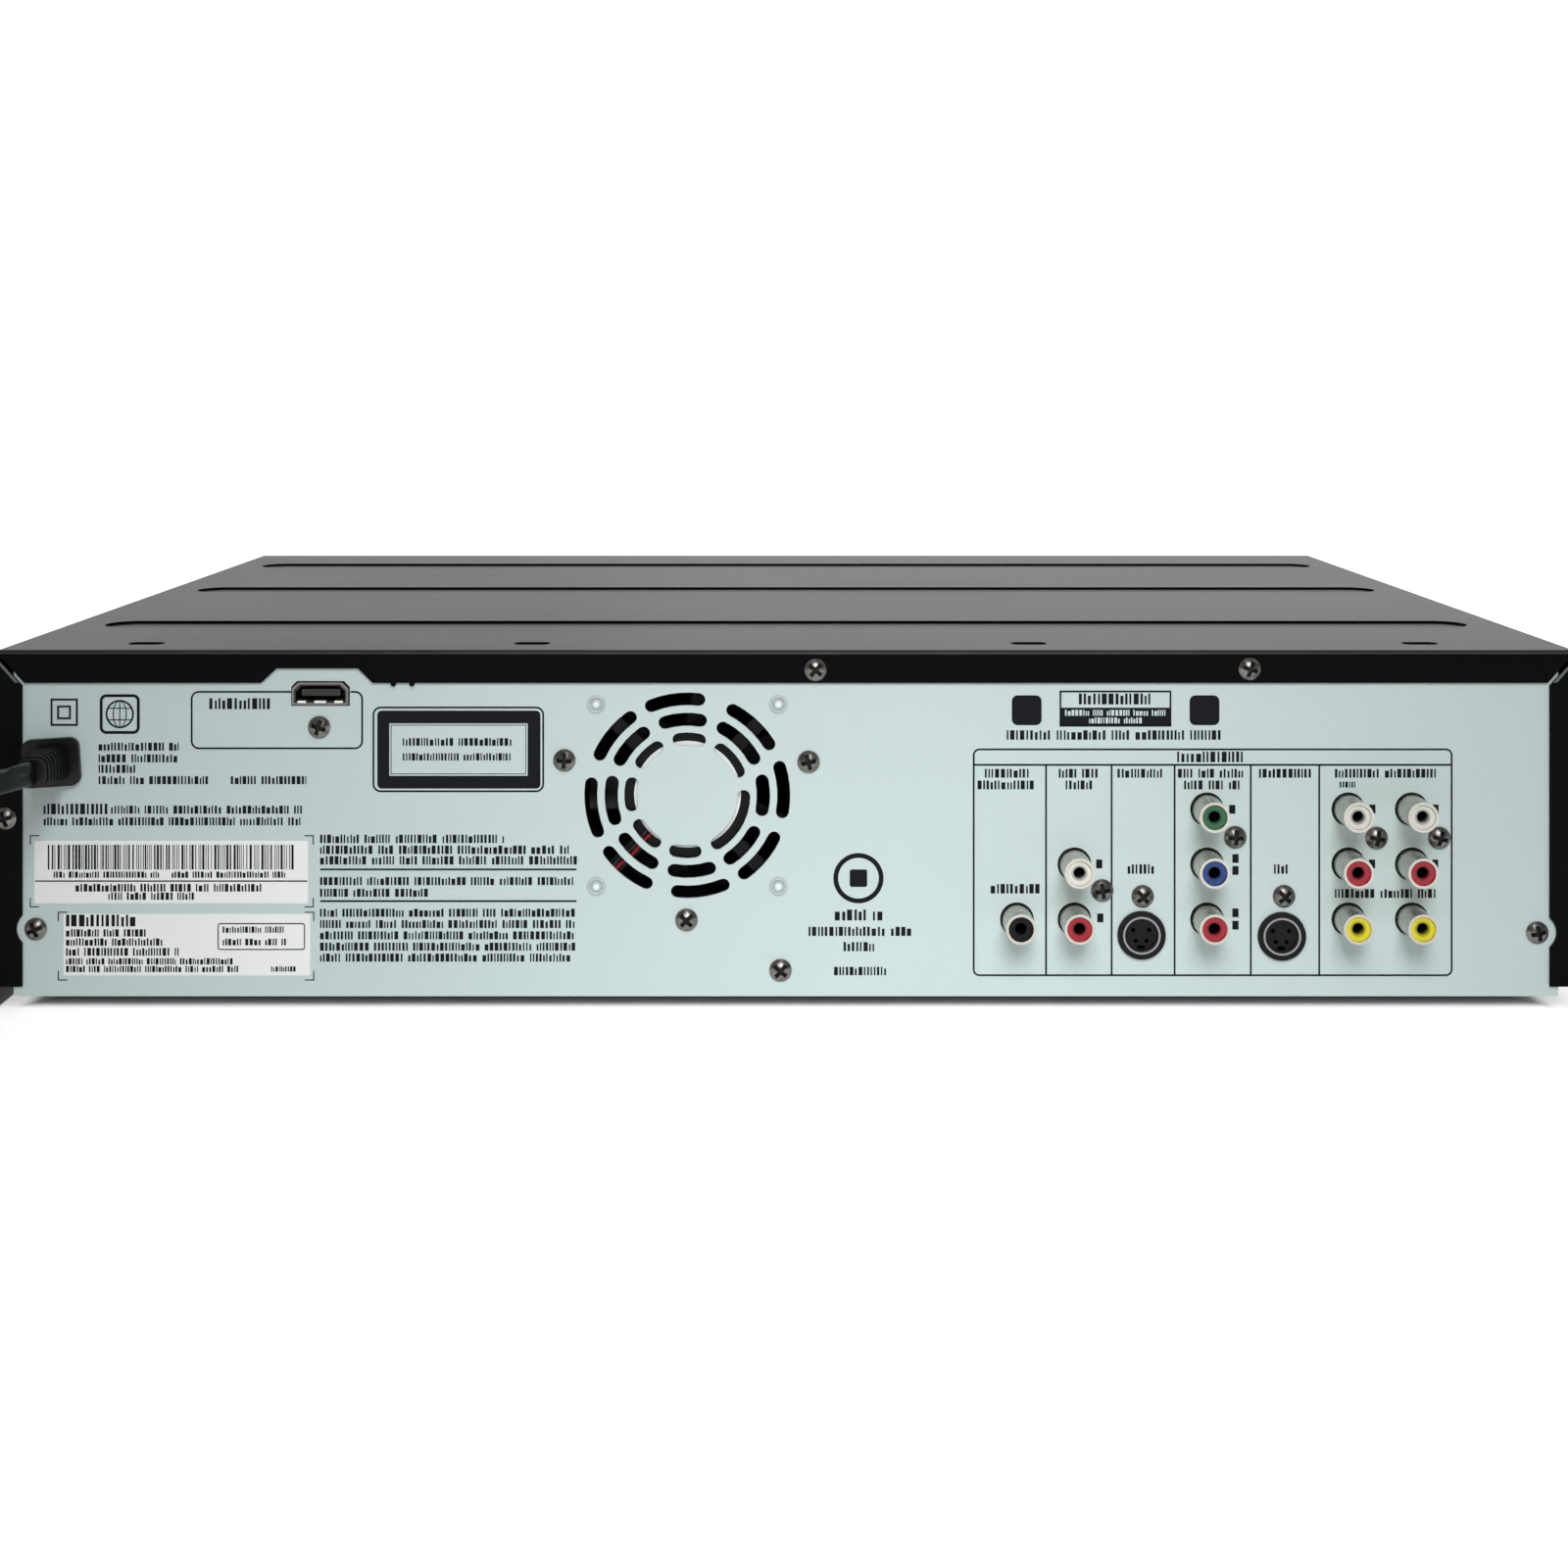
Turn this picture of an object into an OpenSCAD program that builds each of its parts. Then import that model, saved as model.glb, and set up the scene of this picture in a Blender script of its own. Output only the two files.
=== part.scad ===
// Disc and cassette combination player: sheet steel case, moulded front, disc drive on
// the right, cassette deck on the left, sockets, fan and mains lead at the back.
// Front faces -Y, +X is to the right seen from the front, feet stand on z = 0.

/* [Case] */
// Width over the top cover
case_w = 435; // [432:1:440]
// Height from the feet's soles to the top of the cover
case_h = 99.5; // [99:0.5:101]
// Height of the rubber feet
foot_h = 4.5; // [3:0.5:6]
// Thickness of the sheet steel
sheet = 0.8; // [0.6:0.1:1]
// Depth of the moulded front, from its back edge to the keys' faces
bezel_d = 28; // [26:1:32]
// Front face of the moulded front, seen from the origin
front_y = 163.2; // [163:0.1:164]
// Outer face of the rear panel
panel_y = 153.4; // [152:0.1:154]
// Width of the cover's folded edges over the rear panel
flange_w = 8; // [7:0.5:9]
// Depth of the pressed channels across the cover
bead_depth = 0.7; // [0.4:0.1:0.7]
// Width of the pressed channels
bead_w = 18; // [14:1:22]

/* [Rear sockets] */
// How far the socket barrels stand out of the panel
barrel_out = 10.6; // [9:0.1:11]
// Outer radius of a phono socket barrel
barrel_r = 4.1; // [3.9:0.05:4.2]
// Bore radius of a phono socket barrel
barrel_bore_r = 3.4; // [3.2:0.05:3.6]
// Radius of the centre hole in a phono socket
pin_hole_r = 1.6; // [1.4:0.05:1.8]
// Panel hole radius around a phono socket
phono_hole_r = 4.64; // [4.5:0.02:4.8]
// Spacing of phono sockets up a column
phono_step = 15.1; // [15:0.05:15.2]

/* [Fan] */
// Side of the square fan frame
fan_size = 60; // [58:1:60]
// Depth of the fan frame
fan_depth = 15; // [14:0.5:16]
// Number of blades
fan_blades = 7; // [5:1:9]

/* [Cassette deck] */
// Middle of the deck, across the case
deck_x = -105; // [-106:0.5:-104.5]
// Width of the cassette slot's inside
bay_w = 189.6; // [189:0.2:190]
// How far the holder slides back with a cassette
carriage_in = 45; // [40:1:45]
// How far the holder then drops onto the reels
carriage_drop = 22; // [18:1:22]
// Tilt of the head drum
drum_tilt = 6; // [4:0.5:7]
// Radius of the head drum
drum_r = 31; // [29:0.5:31]

/* [Disc drive] */
// Middle of the disc drive, across the case
drive_x = 120; // [119:0.5:120.5]
// Travel of the disc tray
tray_travel = 150; // [140:1:150]
// Radius of the disc well
disc_well_r = 60.5; // [60.3:0.1:61]
// Pitch radius of the tray pinion
pinion_r = 6; // [6]
// Teeth on the tray pinion
pinion_teeth = 12; // [12]

/* [Mains lead] */
// Width of the flat mains lead
lead_w = 6.6; // [6:0.1:6.8]

/* [Hidden] */

$fn = 48;
eps = 0.01;
over = 1;

// Colours
steel_c = [0.72, 0.73, 0.74];
panel_c = [0.80, 0.84, 0.83];
black_c = [0.07, 0.07, 0.08];
plastic_c = [0.10, 0.10, 0.11];
nickel_c = [0.78, 0.77, 0.74];
board_c = [0.16, 0.36, 0.20];
brown_board_c = [0.52, 0.38, 0.22];
alloy_c = [0.78, 0.79, 0.80];

// Planes of the case
half_w = case_w / 2;
base_z = foot_h;
floor_z = base_z + sheet;
front_face = -front_y;
key_proud = 0.8;
bezel_back = front_face - key_proud + bezel_d;
bezel_wall = 2.5;
bezel_top = case_h - 2.6;
lip_t = 2;
bezel_inner = front_face + bezel_wall;
panel_in = panel_y - sheet;
flange_y = panel_y + sheet;
bend_r = 1.5;
chassis_half_w = 212;
panel_top = case_h - 1.5;
top_flange = 8.9;
cover_bottom = 7.3;

// Rear features, as [x, z]
columns_x = [-154.4, -171.8];
low_row = 25.6;
component_x = -115.6;
audio_x = -79.2;
coax_at = [-63.4, low_row];
svideo_at = [[-97.6, 21.3], [-136.1, 21.0]];
white_at = [[audio_x, low_row + phono_step], for (x = columns_x) [x, low_row + 2 * phono_step]];
red_at = [
    [audio_x, low_row], [component_x, low_row], for (x = columns_x) [x, low_row + phono_step]
];
yellow_at = [for (x = columns_x) [x, low_row]];
green_at = [[component_x, low_row + 2 * phono_step]];
blue_at = [[component_x, low_row + phono_step]];
hdmi_at = [127.8, 87.6];
hdmi_w = 15.4;
hdmi_h = 6.1;
hdmi_gap = 0.35;
hdmi_wall = 0.5;
hdmi_corner = 1.6;
fan_at = [27.1, 59.6];
bushing_at = [201.4, 68.8];
bushing_w = 15.6;
bushing_h = 13.2;
bushing_tilt = 3.5;
flange_screws_at = [[-8.1, 94.25], [-127.1, 94.5], [213.9, 53.5]];
socket_screws_at = [
    [-86.8, 33.6], [-97.9, 32.0], [-123.3, 48.2], [-136.7, 32.0], [-162.1, 48.0], [-179.3, 48.0]
];
chassis_screws_at = [[27.3, 25.5], [1.5, 11.7], [205.9, 23.0], [-206.2, 22.0]];
panel_screws_at = [[60.8, 69.3], [-6.2, 68.9], [128.1, 78.4]];
side_tab_h = 15;
side_tab_out = 4.4;
screw_r = 1.4;
screw_hole_r = 1.5;
slot_end_step = 0.05;
head_r = 3.05;
head_h = 1.9;
head_dome = 3.9;
recess_len = 4.2;
recess_w = 1.15;
recess_d = 1.6;
base_head_h = 1.6;
screw_relief_r = 5.2;

// Front features, as [x, z]
door_x = deck_x;
door_w = 196.2;
door_low = 61.5;
door_high = 91.9;
door_t = 2.2;
door_axis = [front_face + 1.5, 91.1];
tray_open_w = 150;
tray_low = 69;
tray_high = 89;
window_at = [120, 45];
window_w = 150;
window_h = 24;
front_jacks_x = [-150, -168, -186];
front_jacks_z = 24;
power_at = [-190, 46];
eject_at = [-150, 46];
rewind_at = [-100, 46];
play_at = [-74, 46];
forward_at = [-48, 46];
stop_at = [-22, 46];
record_at = [60, 20];
open_at = [180, 20];
buttons_at = [power_at, eject_at, rewind_at, play_at, forward_at, stop_at, record_at, open_at];
key_w = 20;
key_h = 8;
key_gap = 0.3;
key_face = front_face - key_proud;
power_r = 6.5;
board_front = -146;
groove_z = 58.4;
stud_at = [[-205, 12], [-205, 53], [20, 12], [20, 53], [205, 12], [205, 53]];

// Deck heights and places
plate_z = 28.8;
plate_top = 30;
reel_x = 46;
reel_y = -40.5;
drum_at = [deck_x, 72, 48];
capstan_at = [deck_x + 66, 34];
pinch_pivot = [deck_x + 83, 52];
pinch_len = 17.3;
pinch_rest = 190.6;
pinch_roller_at = pinch_pivot + pinch_len * [cos(pinch_rest), sin(pinch_rest)];
guide_x = 40;
guide_y = 24;
guide_travel = 60;
holder_front = -127;
holder_len = 97;
holder_z = 60.8;
holder_h = 27.8;
holder_pins_y = [-115, -45];
holder_pin_z = 80;
rail_pins_y = [-100, -60];
rail_slots_z = [46, 86];
run_gap = 0.06;
deck_legs = [for (x = [-92, 92], y = [-120, 55]) [deck_x + x, y]];

// Drive heights and places
drive_half_w = 75;
drive_front = -134;
drive_back = 56;
drive_floor = 48;
drive_top = 84;
drive_legs = [for (x = [-68, 68], y = [-120, 45]) [drive_x + x, y]];
tray_half_w = 67;
tray_z = 74;
tray_t = 6;
tray_back = 4;
disc_at = [drive_x, -75];
pinion_at = [drive_x - 61, -120];
tooth_pitch = 2 * PI * pinion_r / pinion_teeth;
rack_teeth = ceil(tray_travel / tooth_pitch) + 4;
rack_line = pinion_at[0] + pinion_r;
tooth_high = 0.8;
tooth_deep = 1.1;
traverse_pivot = [20, 59];
rail_x = 24;
rail_z = 64.5;
rail_r = 1.5;
sled_y = -57;
sled_len = 28;
motor_top = 67;

// Boards
board_t = 1.6;
board_z = 11.6;
main_posts = [[-200, 70], [-60, 70], [-200, 144], [-60, 144]];
power_posts = [[98, 78], [202, 78], [98, 144], [202, 144]];
digital_z = 82.9;
digital_posts = [[72, 72], [72, 144], [154, 78], [154, 144]];
feet_at = [for (x = [-160, 160], y = [-118, 118]) [x, y]];

// Mains lead: the stretch from the sleeve to the coil, the coil, and the tail to the plug
lead_r = lead_w / 2;
coil_at = [275, 70];
coil_in_r = 31;
coil_pitch = 3.6;
coil_turns = 4.5;
coil_lift = 0.5;
coil_out_r = coil_in_r + coil_pitch * coil_turns;
sleeve_end = 170;
lead_route = [
    [201.4, 170, 68.8], [201.9, 176, 69.2], [204, 184, 69.4], [209, 192, 68.8],
    [217, 198, 66.4], [227, 201, 61.8], [238, 201, 54.8], [249, 198.5, 46.2],
    [259.5, 194, 37.4], [269.5, 188, 28.8], [278.5, 180.5, 21], [286.5, 171.5, 14.4],
    [293, 161, 9.2], [298, 149.5, 5.4], [301.5, 138, 4.1], [304, 126.5, 5.4],
    [305.5, 115.5, 8.4], [306, 105, 10.8], [306, 94, 11.2], [306, 82, 11], [306, 70, 10]
];
tail_route = [[227.8, 70, 3.8], [227.8, 82, 4.4], [228.2, 93, 6.5], [229, 104, 8.2]];
plug_at = [229, 104, 8.2];

// ---------- helpers ----------
module block(lo, hi) {
    translate(lo) cube(hi - lo);
}

module rod_x(x0, x1, y, z, r) {
    translate([x0, y, z]) rotate([0, 90, 0]) cylinder(r = r, h = x1 - x0);
}

module rod_y(at, y0, y1, r) {
    translate([at[0], y1, at[1]]) rotate([90, 0, 0]) cylinder(r = r, h = y1 - y0);
}

module rod_z(at, z0, z1, r) {
    translate([at[0], at[1], z0]) cylinder(r = r, h = z1 - z0);
}

// A 2D outline drawn in x and z, standing between two y planes
module slab_y(y0, y1) {
    translate([0, y1, 0]) rotate([90, 0, 0]) linear_extrude(y1 - y0) children();
}

// A 2D outline drawn in y and z, standing between two x planes
module slab_x(x0, x1) {
    translate([x0, 0, 0]) rotate([90, 0, 90]) linear_extrude(x1 - x0) children();
}

module rounded(lo, hi, r) {
    translate([lo[0] + r, lo[1]]) square([hi[0] - lo[0] - 2 * r, hi[1] - lo[1]]);
    translate([lo[0], lo[1] + r]) square([hi[0] - lo[0], hi[1] - lo[1] - 2 * r]);
    for (x = [lo[0] + r, hi[0] - r], y = [lo[1] + r, hi[1] - r]) {
        translate([x, y]) circle(r = r);
    }
}

module rounded_at(at, w, h, r) {
    rounded([at[0] - w / 2, at[1] - h / 2], [at[0] + w / 2, at[1] + h / 2], r);
}

// The rear outline of one fan grille slot between two angles, clockwise from the top
module grille_slot(r, w, from, to) {
    translate([fan_at[0], panel_y + over, fan_at[1]]) rotate([90, 0, 0]) {
        rotate([0, 0, 90 + from]) rotate_extrude(angle = to - from) {
            translate([r - w / 2, 0]) square([w, sheet + 2 * over]);
        }
        for (a = [from, to]) {
            rotate([0, 0, 90 + a]) translate([r, 0, 0]) {
                cylinder(r = w / 2 - slot_end_step, h = sheet + 2 * over);
            }
        }
    }
}

// A cross-head screw along y, its head's underside on the plane y and its cross at an angle of its own
module screw_y(at, y) {
    turn = (37 * at[0] + 61 * at[1]) % 90;
    difference() {
        union() {
            intersection() {
                rod_y(at, y, y + head_h, head_r);
                translate([at[0], y + head_h - head_dome, at[1]]) sphere(r = head_dome);
            }
            rod_y(at, y - 6, y + eps, screw_r);
        }
        for (a = [0, 90]) {
            translate([at[0], y + head_h, at[1]]) rotate([0, a + turn, 0]) {
                cube([recess_len, 2 * recess_d, recess_w], center = true);
            }
        }
    }
}

// ---------- case ----------
module chassis_base() {
    color(steel_c) {
        difference() {
            union() {
                block([-chassis_half_w, bezel_back, base_z], [chassis_half_w, panel_in, floor_z]);
                for (s = [-1, 1]) {
                    x = s * (chassis_half_w - sheet / 2);
                    block([x - sheet / 2, bezel_back, base_z], [x + sheet / 2, panel_in, 24]);
                }
                base_back();
                for (at = main_posts) rod_z(at, floor_z - eps, board_z, 2.5);
                for (at = power_posts) rod_z(at, floor_z - eps, board_z, 2.5);
                for (at = digital_posts) rod_z(at, floor_z - eps, digital_z, 2.5);
            }
            for (at = feet_at) rod_z(at, base_z - over, floor_z + over, 2.5);
            for (at = concat(deck_legs, drive_legs)) rod_z(at, base_z - over, floor_z + over, 1.6);
            for (i = [0:9]) base_vent(86 + 12 * i);
            for (at = chassis_screws_at) rod_y(at, panel_in - 2, panel_in + over, screw_hole_r);
        }
    }
}

module base_back() {
    y0 = panel_in - sheet;
    tab_w = 12;
    block([-chassis_half_w, y0, base_z], [chassis_half_w, panel_in, 9]);
    block([-6, y0, base_z], [9, panel_in, 16]);
    block([20, y0, base_z], [35, panel_in, 29]);
    for (x = [-chassis_half_w, chassis_half_w - tab_w]) {
        block([x, y0, base_z], [x + tab_w, panel_in, 30]);
    }
}

module base_vent(x) {
    translate([x, 20, base_z - over]) linear_extrude(sheet + 2 * over) {
        rounded([-1.5, 0], [1.5, 30], 1.4);
    }
}

module rear_panel() {
    slots_outer = [
        [-22, 7], [28, 58], [73, 100], [116, 144], [158, 186], [205, 234], [248, 277], [295, 324]
    ];
    slots_middle = [
        [-17, 10], [28, 61], [79, 101], [119, 146], [163, 190], [207.5, 235], [252, 280], [298, 325]
    ];
    slots_inner = [
        [-8.5, 12.5], [36, 65], [91, 148], [172, 192], [215, 238], [260, 282], [306, 328]
    ];
    color(panel_c) {
        difference() {
            slab_y(panel_in, panel_y) {
                translate([-chassis_half_w, base_z]) {
                    square([2 * chassis_half_w, panel_top - base_z]);
                }
                translate([chassis_half_w - over, flange_screws_at[2][1] - side_tab_h / 2]) {
                    square([side_tab_out + over, side_tab_h]);
                }
            }
            slab_y(panel_in - over, panel_y + over) panel_openings();
            for (a = slots_outer) grille_slot(26.5, 3.55, a[0], a[1]);
            for (a = slots_middle) grille_slot(20.9, 3.65, a[0], a[1]);
            for (a = slots_inner) grille_slot(15.5, 3.6, a[0], a[1]);
        }
        for (x = [-25, 25], z = [-25, 25]) {
            rod_y([fan_at[0] + x, fan_at[1] + z], panel_y - eps, panel_y + 0.35, 1.5);
        }
    }
}

module panel_openings() {
    for (at = concat([coax_at], white_at, red_at, yellow_at, green_at, blue_at)) {
        translate(at) circle(r = phono_hole_r);
    }
    for (at = svideo_at) {
        translate(at) circle(r = 6.65);
    }
    screws = concat(socket_screws_at, chassis_screws_at, panel_screws_at, flange_screws_at);
    for (at = screws) {
        translate(at) circle(r = screw_hole_r);
    }
    translate(hdmi_at) hdmi_outline(-hdmi_gap);
    translate(bushing_at) rotate(-bushing_tilt) rounded_at([0, 0], bushing_w - 2.4, bushing_h - 2.4, 2);
}

// The outside of the cover, or its inside when grown by a negative amount
module cover_block(inset) {
    x = half_w - inset;
    z = case_h - inset;
    y = flange_y - inset;
    r = bend_r - inset;
    y0 = bezel_back - (inset > 0 ? over : 0);
    z0 = cover_bottom - (inset > 0 ? over : 0);
    intersection() {
        slab_y(y0, y) {
            translate([-x, z0]) square([2 * x, z - z0 - r]);
            translate([-x + r, z0]) square([2 * x - 2 * r, z - z0]);
            for (s = [-1, 1]) {
                translate([s * (x - r), z - r]) circle(r = r);
            }
        }
        slab_x(-x, x) {
            translate([y0, z0]) square([y - y0, z - z0 - r]);
            translate([y0, z0]) square([y - y0 - r, z - z0]);
            translate([y - r, z - r]) circle(r = r);
        }
    }
}

module top_cover() {
    inner_x = half_w - flange_w;
    inner_z = case_h - top_flange;
    bead_rows = [flange_y - 68, flange_y - 166, flange_y - 255];
    slit_rows = [-178.3, -68.3, 71.4, 179.9];
    slit_x = 5;
    slit_y = 2.7;
    slit_bevel = 1.4;
    strip_top = cover_bottom + sheet;
    mitre = flange_w - 1.4;
    color(black_c) {
        difference() {
            union() {
                difference() {
                    cover_block(0);
                    cover_block(sheet);
                }
                for (y = bead_rows) bead(y, case_h - sheet - bead_depth, bead_w / 2, case_h - sheet + eps);
                for (s = [-1, 1]) {
                    x = s * (chassis_half_w + half_w - sheet) / 2;
                    w = half_w - sheet - chassis_half_w;
                    block([x - w / 2, bezel_back, cover_bottom], [x + w / 2, panel_y, strip_top]);
                }
            }
            for (y = bead_rows) bead(y, case_h - bead_depth, bead_w / 2 - sheet, case_h + over);
            block([-inner_x, panel_in, cover_bottom - over], [inner_x, flange_y + over, inner_z]);
            slab_y(panel_in, flange_y + over) {
                polygon([
                    [hdmi_at[0] - 14.5, inner_z - eps], [hdmi_at[0] + 16.2, inner_z - eps],
                    [hdmi_at[0] + 11.9, inner_z + 4], [hdmi_at[0] - 10.4, inner_z + 4]
                ]);
            }
            for (s = [-1, 1]) {
                translate([s * inner_x, panel_y - eps, inner_z]) rotate([0, -s * 48, 0]) {
                    block([-s * 3 - 3, 0, -0.5], [-s * 3 + 3, sheet + over, 0.5]);
                    block([min(0, s * mitre * 1.3), 0, -0.5], [max(0, s * mitre * 1.3), sheet + over, 0.5]);
                }
            }
            for (at = [chassis_screws_at[2], chassis_screws_at[3]]) {
                rod_y(at, panel_y - eps, flange_y + over, screw_relief_r);
            }
            for (at = flange_screws_at) rod_y(at, panel_y - over, flange_y + over, screw_hole_r + 0.1);
            for (x = slit_rows) {
                translate([x, flange_y - 15, case_h - sheet - over]) linear_extrude(sheet + 2 * over) {
                    intersection() {
                        square([2 * slit_x, 2 * slit_y], center = true);
                        rotate([0, 0, 45]) square((slit_x + slit_y - slit_bevel) * sqrt(2), center = true);
                    }
                }
            }
        }
        for (x = [102.6, 107.7]) rod_y([x, inner_z - 0.3], panel_y, flange_y, 0.7);
    }
}

// One pressed channel: a straight run whose round ends stop short of the side bends
module bead(y, z0, r, z1) {
    run = half_w - 11;
    translate([0, y + bead_w / 2, z0]) linear_extrude(z1 - z0) {
        translate([-run + bead_w / 2, -r]) square([2 * run - bead_w, 2 * r]);
        for (s = [-1, 1]) {
            translate([s * (run - bead_w / 2), 0]) circle(r = r);
        }
    }
}

module rubber_feet() {
    color([0.05, 0.05, 0.05]) {
        for (at = feet_at) {
            difference() {
                union() {
                    rod_z(at, 0, base_z, 11);
                    rod_z(at, base_z - eps, floor_z + 2.5, 2.4);
                }
                rod_z(at, -over, 1, 7);
            }
        }
    }
}

module panel_screws() {
    color(nickel_c) {
        screws = concat(socket_screws_at, chassis_screws_at, panel_screws_at);
        for (at = screws) screw_y(at, panel_y);
        for (at = flange_screws_at) screw_y(at, flange_y);
    }
}

module base_screws() {
    color(nickel_c) {
        for (at = concat(deck_legs, drive_legs)) {
            difference() {
                union() {
                    rod_z(at, base_z - base_head_h, base_z, head_r);
                    rod_z(at, base_z - eps, base_z + 8, screw_r);
                }
                for (a = [0, 90]) {
                    translate([at[0], at[1], base_z - base_head_h]) rotate([0, 0, a]) {
                        cube([recess_len, recess_w, base_head_h], center = true);
                    }
                }
            }
        }
    }
}

// ---------- front ----------
module bezel_shape(inset) {
    x = half_w - inset;
    z0 = base_z + inset;
    z1 = bezel_top - inset;
    y0 = front_face + (inset > 0 ? bezel_wall : 0);
    y1 = bezel_back + (inset > 0 ? over : 0);
    r = inset > 0 ? 1 : 3.5;
    intersection() {
        slab_y(y0, y1) rounded([-x, z0], [x, z1], min(r, 1.5));
        translate([0, 0, z0]) linear_extrude(z1 - z0) {
            translate([-x + r, y0]) square([2 * x - 2 * r, y1 - y0]);
            translate([-x, y0 + r]) square([2 * x, y1 - y0 - r]);
            for (s = [-1, 1]) {
                translate([s * (x - r), y0 + r]) circle(r = r);
            }
        }
    }
}

module front_bezel() {
    tub_x = (front_jacks_x[0] + front_jacks_x[2]) / 2;
    tub = [tub_x, front_jacks_z];
    color(plastic_c) {
        difference() {
            union() {
                difference() {
                    bezel_shape(0);
                    bezel_shape(2.4);
                }
                block(
                    [-half_w + 3, bezel_back - 1, bezel_top - lip_t],
                    [half_w - 3, bezel_back + 5, case_h - sheet - 0.1]
                );
                for (at = stud_at) rod_y(at, bezel_inner - eps, board_front, 3);
                slab_y(bezel_inner - eps, -152) rounded_at(tub, 62, 20, 9.5);
                for (s = [-1, 1]) {
                    x = door_x + s * (door_w / 2 + 1.7);
                    block([x - 1.3, bezel_inner - eps, 58], [x + 1.3, -152, 95]);
                }
            }
            slab_y(front_face - over, -154) rounded_at(tub, 58, 17, 8);
            for (x = front_jacks_x) rod_y([x, front_jacks_z], -155, -150, phono_hole_r);
            block(
                [door_x - door_w / 2 - 0.4, front_face - over, door_low - 0.5],
                [door_x + door_w / 2 + 0.4, bezel_inner + over, door_high + 0.6]
            );
            rod_x(
                door_x - door_w / 2 - 2.6, door_x + door_w / 2 + 2.6,
                door_axis[0], door_axis[1], 1 + run_gap
            );
            block(
                [drive_x - tray_open_w / 2, front_face - over, tray_low],
                [drive_x + tray_open_w / 2, bezel_inner + over, tray_high]
            );
            slab_y(front_face - over, front_face + 1.2) {
                rounded_at(window_at, window_w + 0.2, window_h + 0.2, 2);
            }
            slab_y(front_face - over, bezel_inner + over) {
                rounded_at(window_at, window_w - 6, window_h - 6, 2);
                for (at = [for (i = [1:len(buttons_at) - 1]) buttons_at[i]]) {
                    rounded_at(at, key_w + 2 * key_gap, key_h + 2 * key_gap, 1.5);
                }
                translate(power_at) circle(r = power_r + key_gap);
            }
            block(
                [-half_w - over, front_face - over, groove_z],
                [half_w + over, front_face + 0.6, groove_z + 0.8]
            );
        }
    }
}

module display_window() {
    color([0.05, 0.03, 0.04, 0.8]) {
        slab_y(front_face, front_face + 1.2) rounded_at(window_at, window_w, window_h, 1.9);
    }
}

module front_board() {
    color(board_c) {
        block([-208, board_front, 8], [208, board_front + board_t, 57]);
        for (at = buttons_at) block([at[0] - 3, -150, at[1] - 3], [at[0] + 3, board_front, at[1] + 3]);
        block(
            [window_at[0] - 62, -157, window_at[1] - 8],
            [window_at[0] + 62, board_front, window_at[1] + 8]
        );
        block([-100, board_front + board_t - eps, 14], [-60, -140, 26]);
    }
}

// A push key: cap, retaining rim behind the front wall, and stem
module push_key(at, w, h) {
    slab_y(key_face, bezel_inner + 0.3 + eps) rounded_at(at, w, h, 1.2);
    key_back(at, w, h);
}

module key_back(at, w, h) {
    slab_y(bezel_inner + 0.3, bezel_inner + 1.5) rounded_at(at, w + 2.4, h + 2.4, 1.2);
    block([at[0] - 2, bezel_inner + 1.5 - eps, at[1] - 2], [at[0] + 2, -151, at[1] + 2]);
}

module power_button() {
    color(nickel_c) {
        rod_y(power_at, key_face, bezel_inner + 0.3 + eps, power_r);
        key_back(power_at, 2 * power_r, 2 * power_r);
    }
}

module eject_button() {
    color(plastic_c) push_key(eject_at, key_w, key_h);
}

module tray_button() {
    color(plastic_c) push_key(open_at, key_w, key_h);
}

module rewind_button() {
    color(plastic_c) push_key(rewind_at, key_w, key_h);
}

module play_button() {
    color(plastic_c) push_key(play_at, key_w, key_h);
}

module forward_button() {
    color(plastic_c) push_key(forward_at, key_w, key_h);
}

module stop_button() {
    color(plastic_c) push_key(stop_at, key_w, key_h);
}

module record_button() {
    color([0.55, 0.08, 0.08]) push_key(record_at, key_w, key_h);
}

// ---------- sockets ----------
module phono_body_holes(list) {
    for (at = list) rod_y(at, panel_in - 5, panel_in + over, barrel_r);
}

module socket_bodies() {
    body_y = 140;
    body_z = board_z + board_t;
    bodies = [
        [-70, -57, 33], [-90.5, -72.9, 48.2], [-105, -91, 36], [-126.5, -109, 63],
        [-143.6, -129, 36], [-182.6, -147.6, 63]
    ];
    color(plastic_c) {
        difference() {
            union() {
                for (b = bodies) block([b[0], body_y, body_z], [b[1], panel_in, b[2]]);
                for (at = svideo_at) rod_y(at, panel_in - eps, panel_y + 0.8, 6.55);
                block([-196, -152, 15], [-140, board_front, 33]);
            }
            phono_body_holes(concat([coax_at], white_at, red_at, yellow_at, green_at, blue_at));
            for (at = svideo_at) svideo_cuts(at);
            for (at = socket_screws_at) rod_y(at, panel_in - 8, panel_in + over, screw_hole_r);
            for (x = front_jacks_x) rod_y([x, front_jacks_z], -153, -148, barrel_r);
        }
        phono_insert(coax_at, panel_y + barrel_out - 1);
    }
}

// The ring groove, four pin holes and key slot of a mini round video socket
module svideo_cuts(at) {
    difference() {
        rod_y(at, panel_in - 4, panel_y + 2, 5.15);
        rod_y(at, panel_in - 5, panel_y - 0.6, 4.65);
    }
    for (x = [-1, 1]) {
        rod_y(at + [2.2 * x, 1.2], panel_in - 3, panel_y + 1, 0.6);
        rod_y(at + [1.5 * x, -1.8], panel_in - 3, panel_y + 1, 0.6);
    }
    block([at[0] - 1.1, panel_in - 3, at[1] - 4.1], [at[0] + 1.1, panel_y + 1, at[1] - 3]);
}

module barrel(at, y0, y1) {
    difference() {
        rod_y(at, y0, y1, barrel_r);
        rod_y(at, y0 - over, y1 + over, barrel_bore_r);
    }
}

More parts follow.
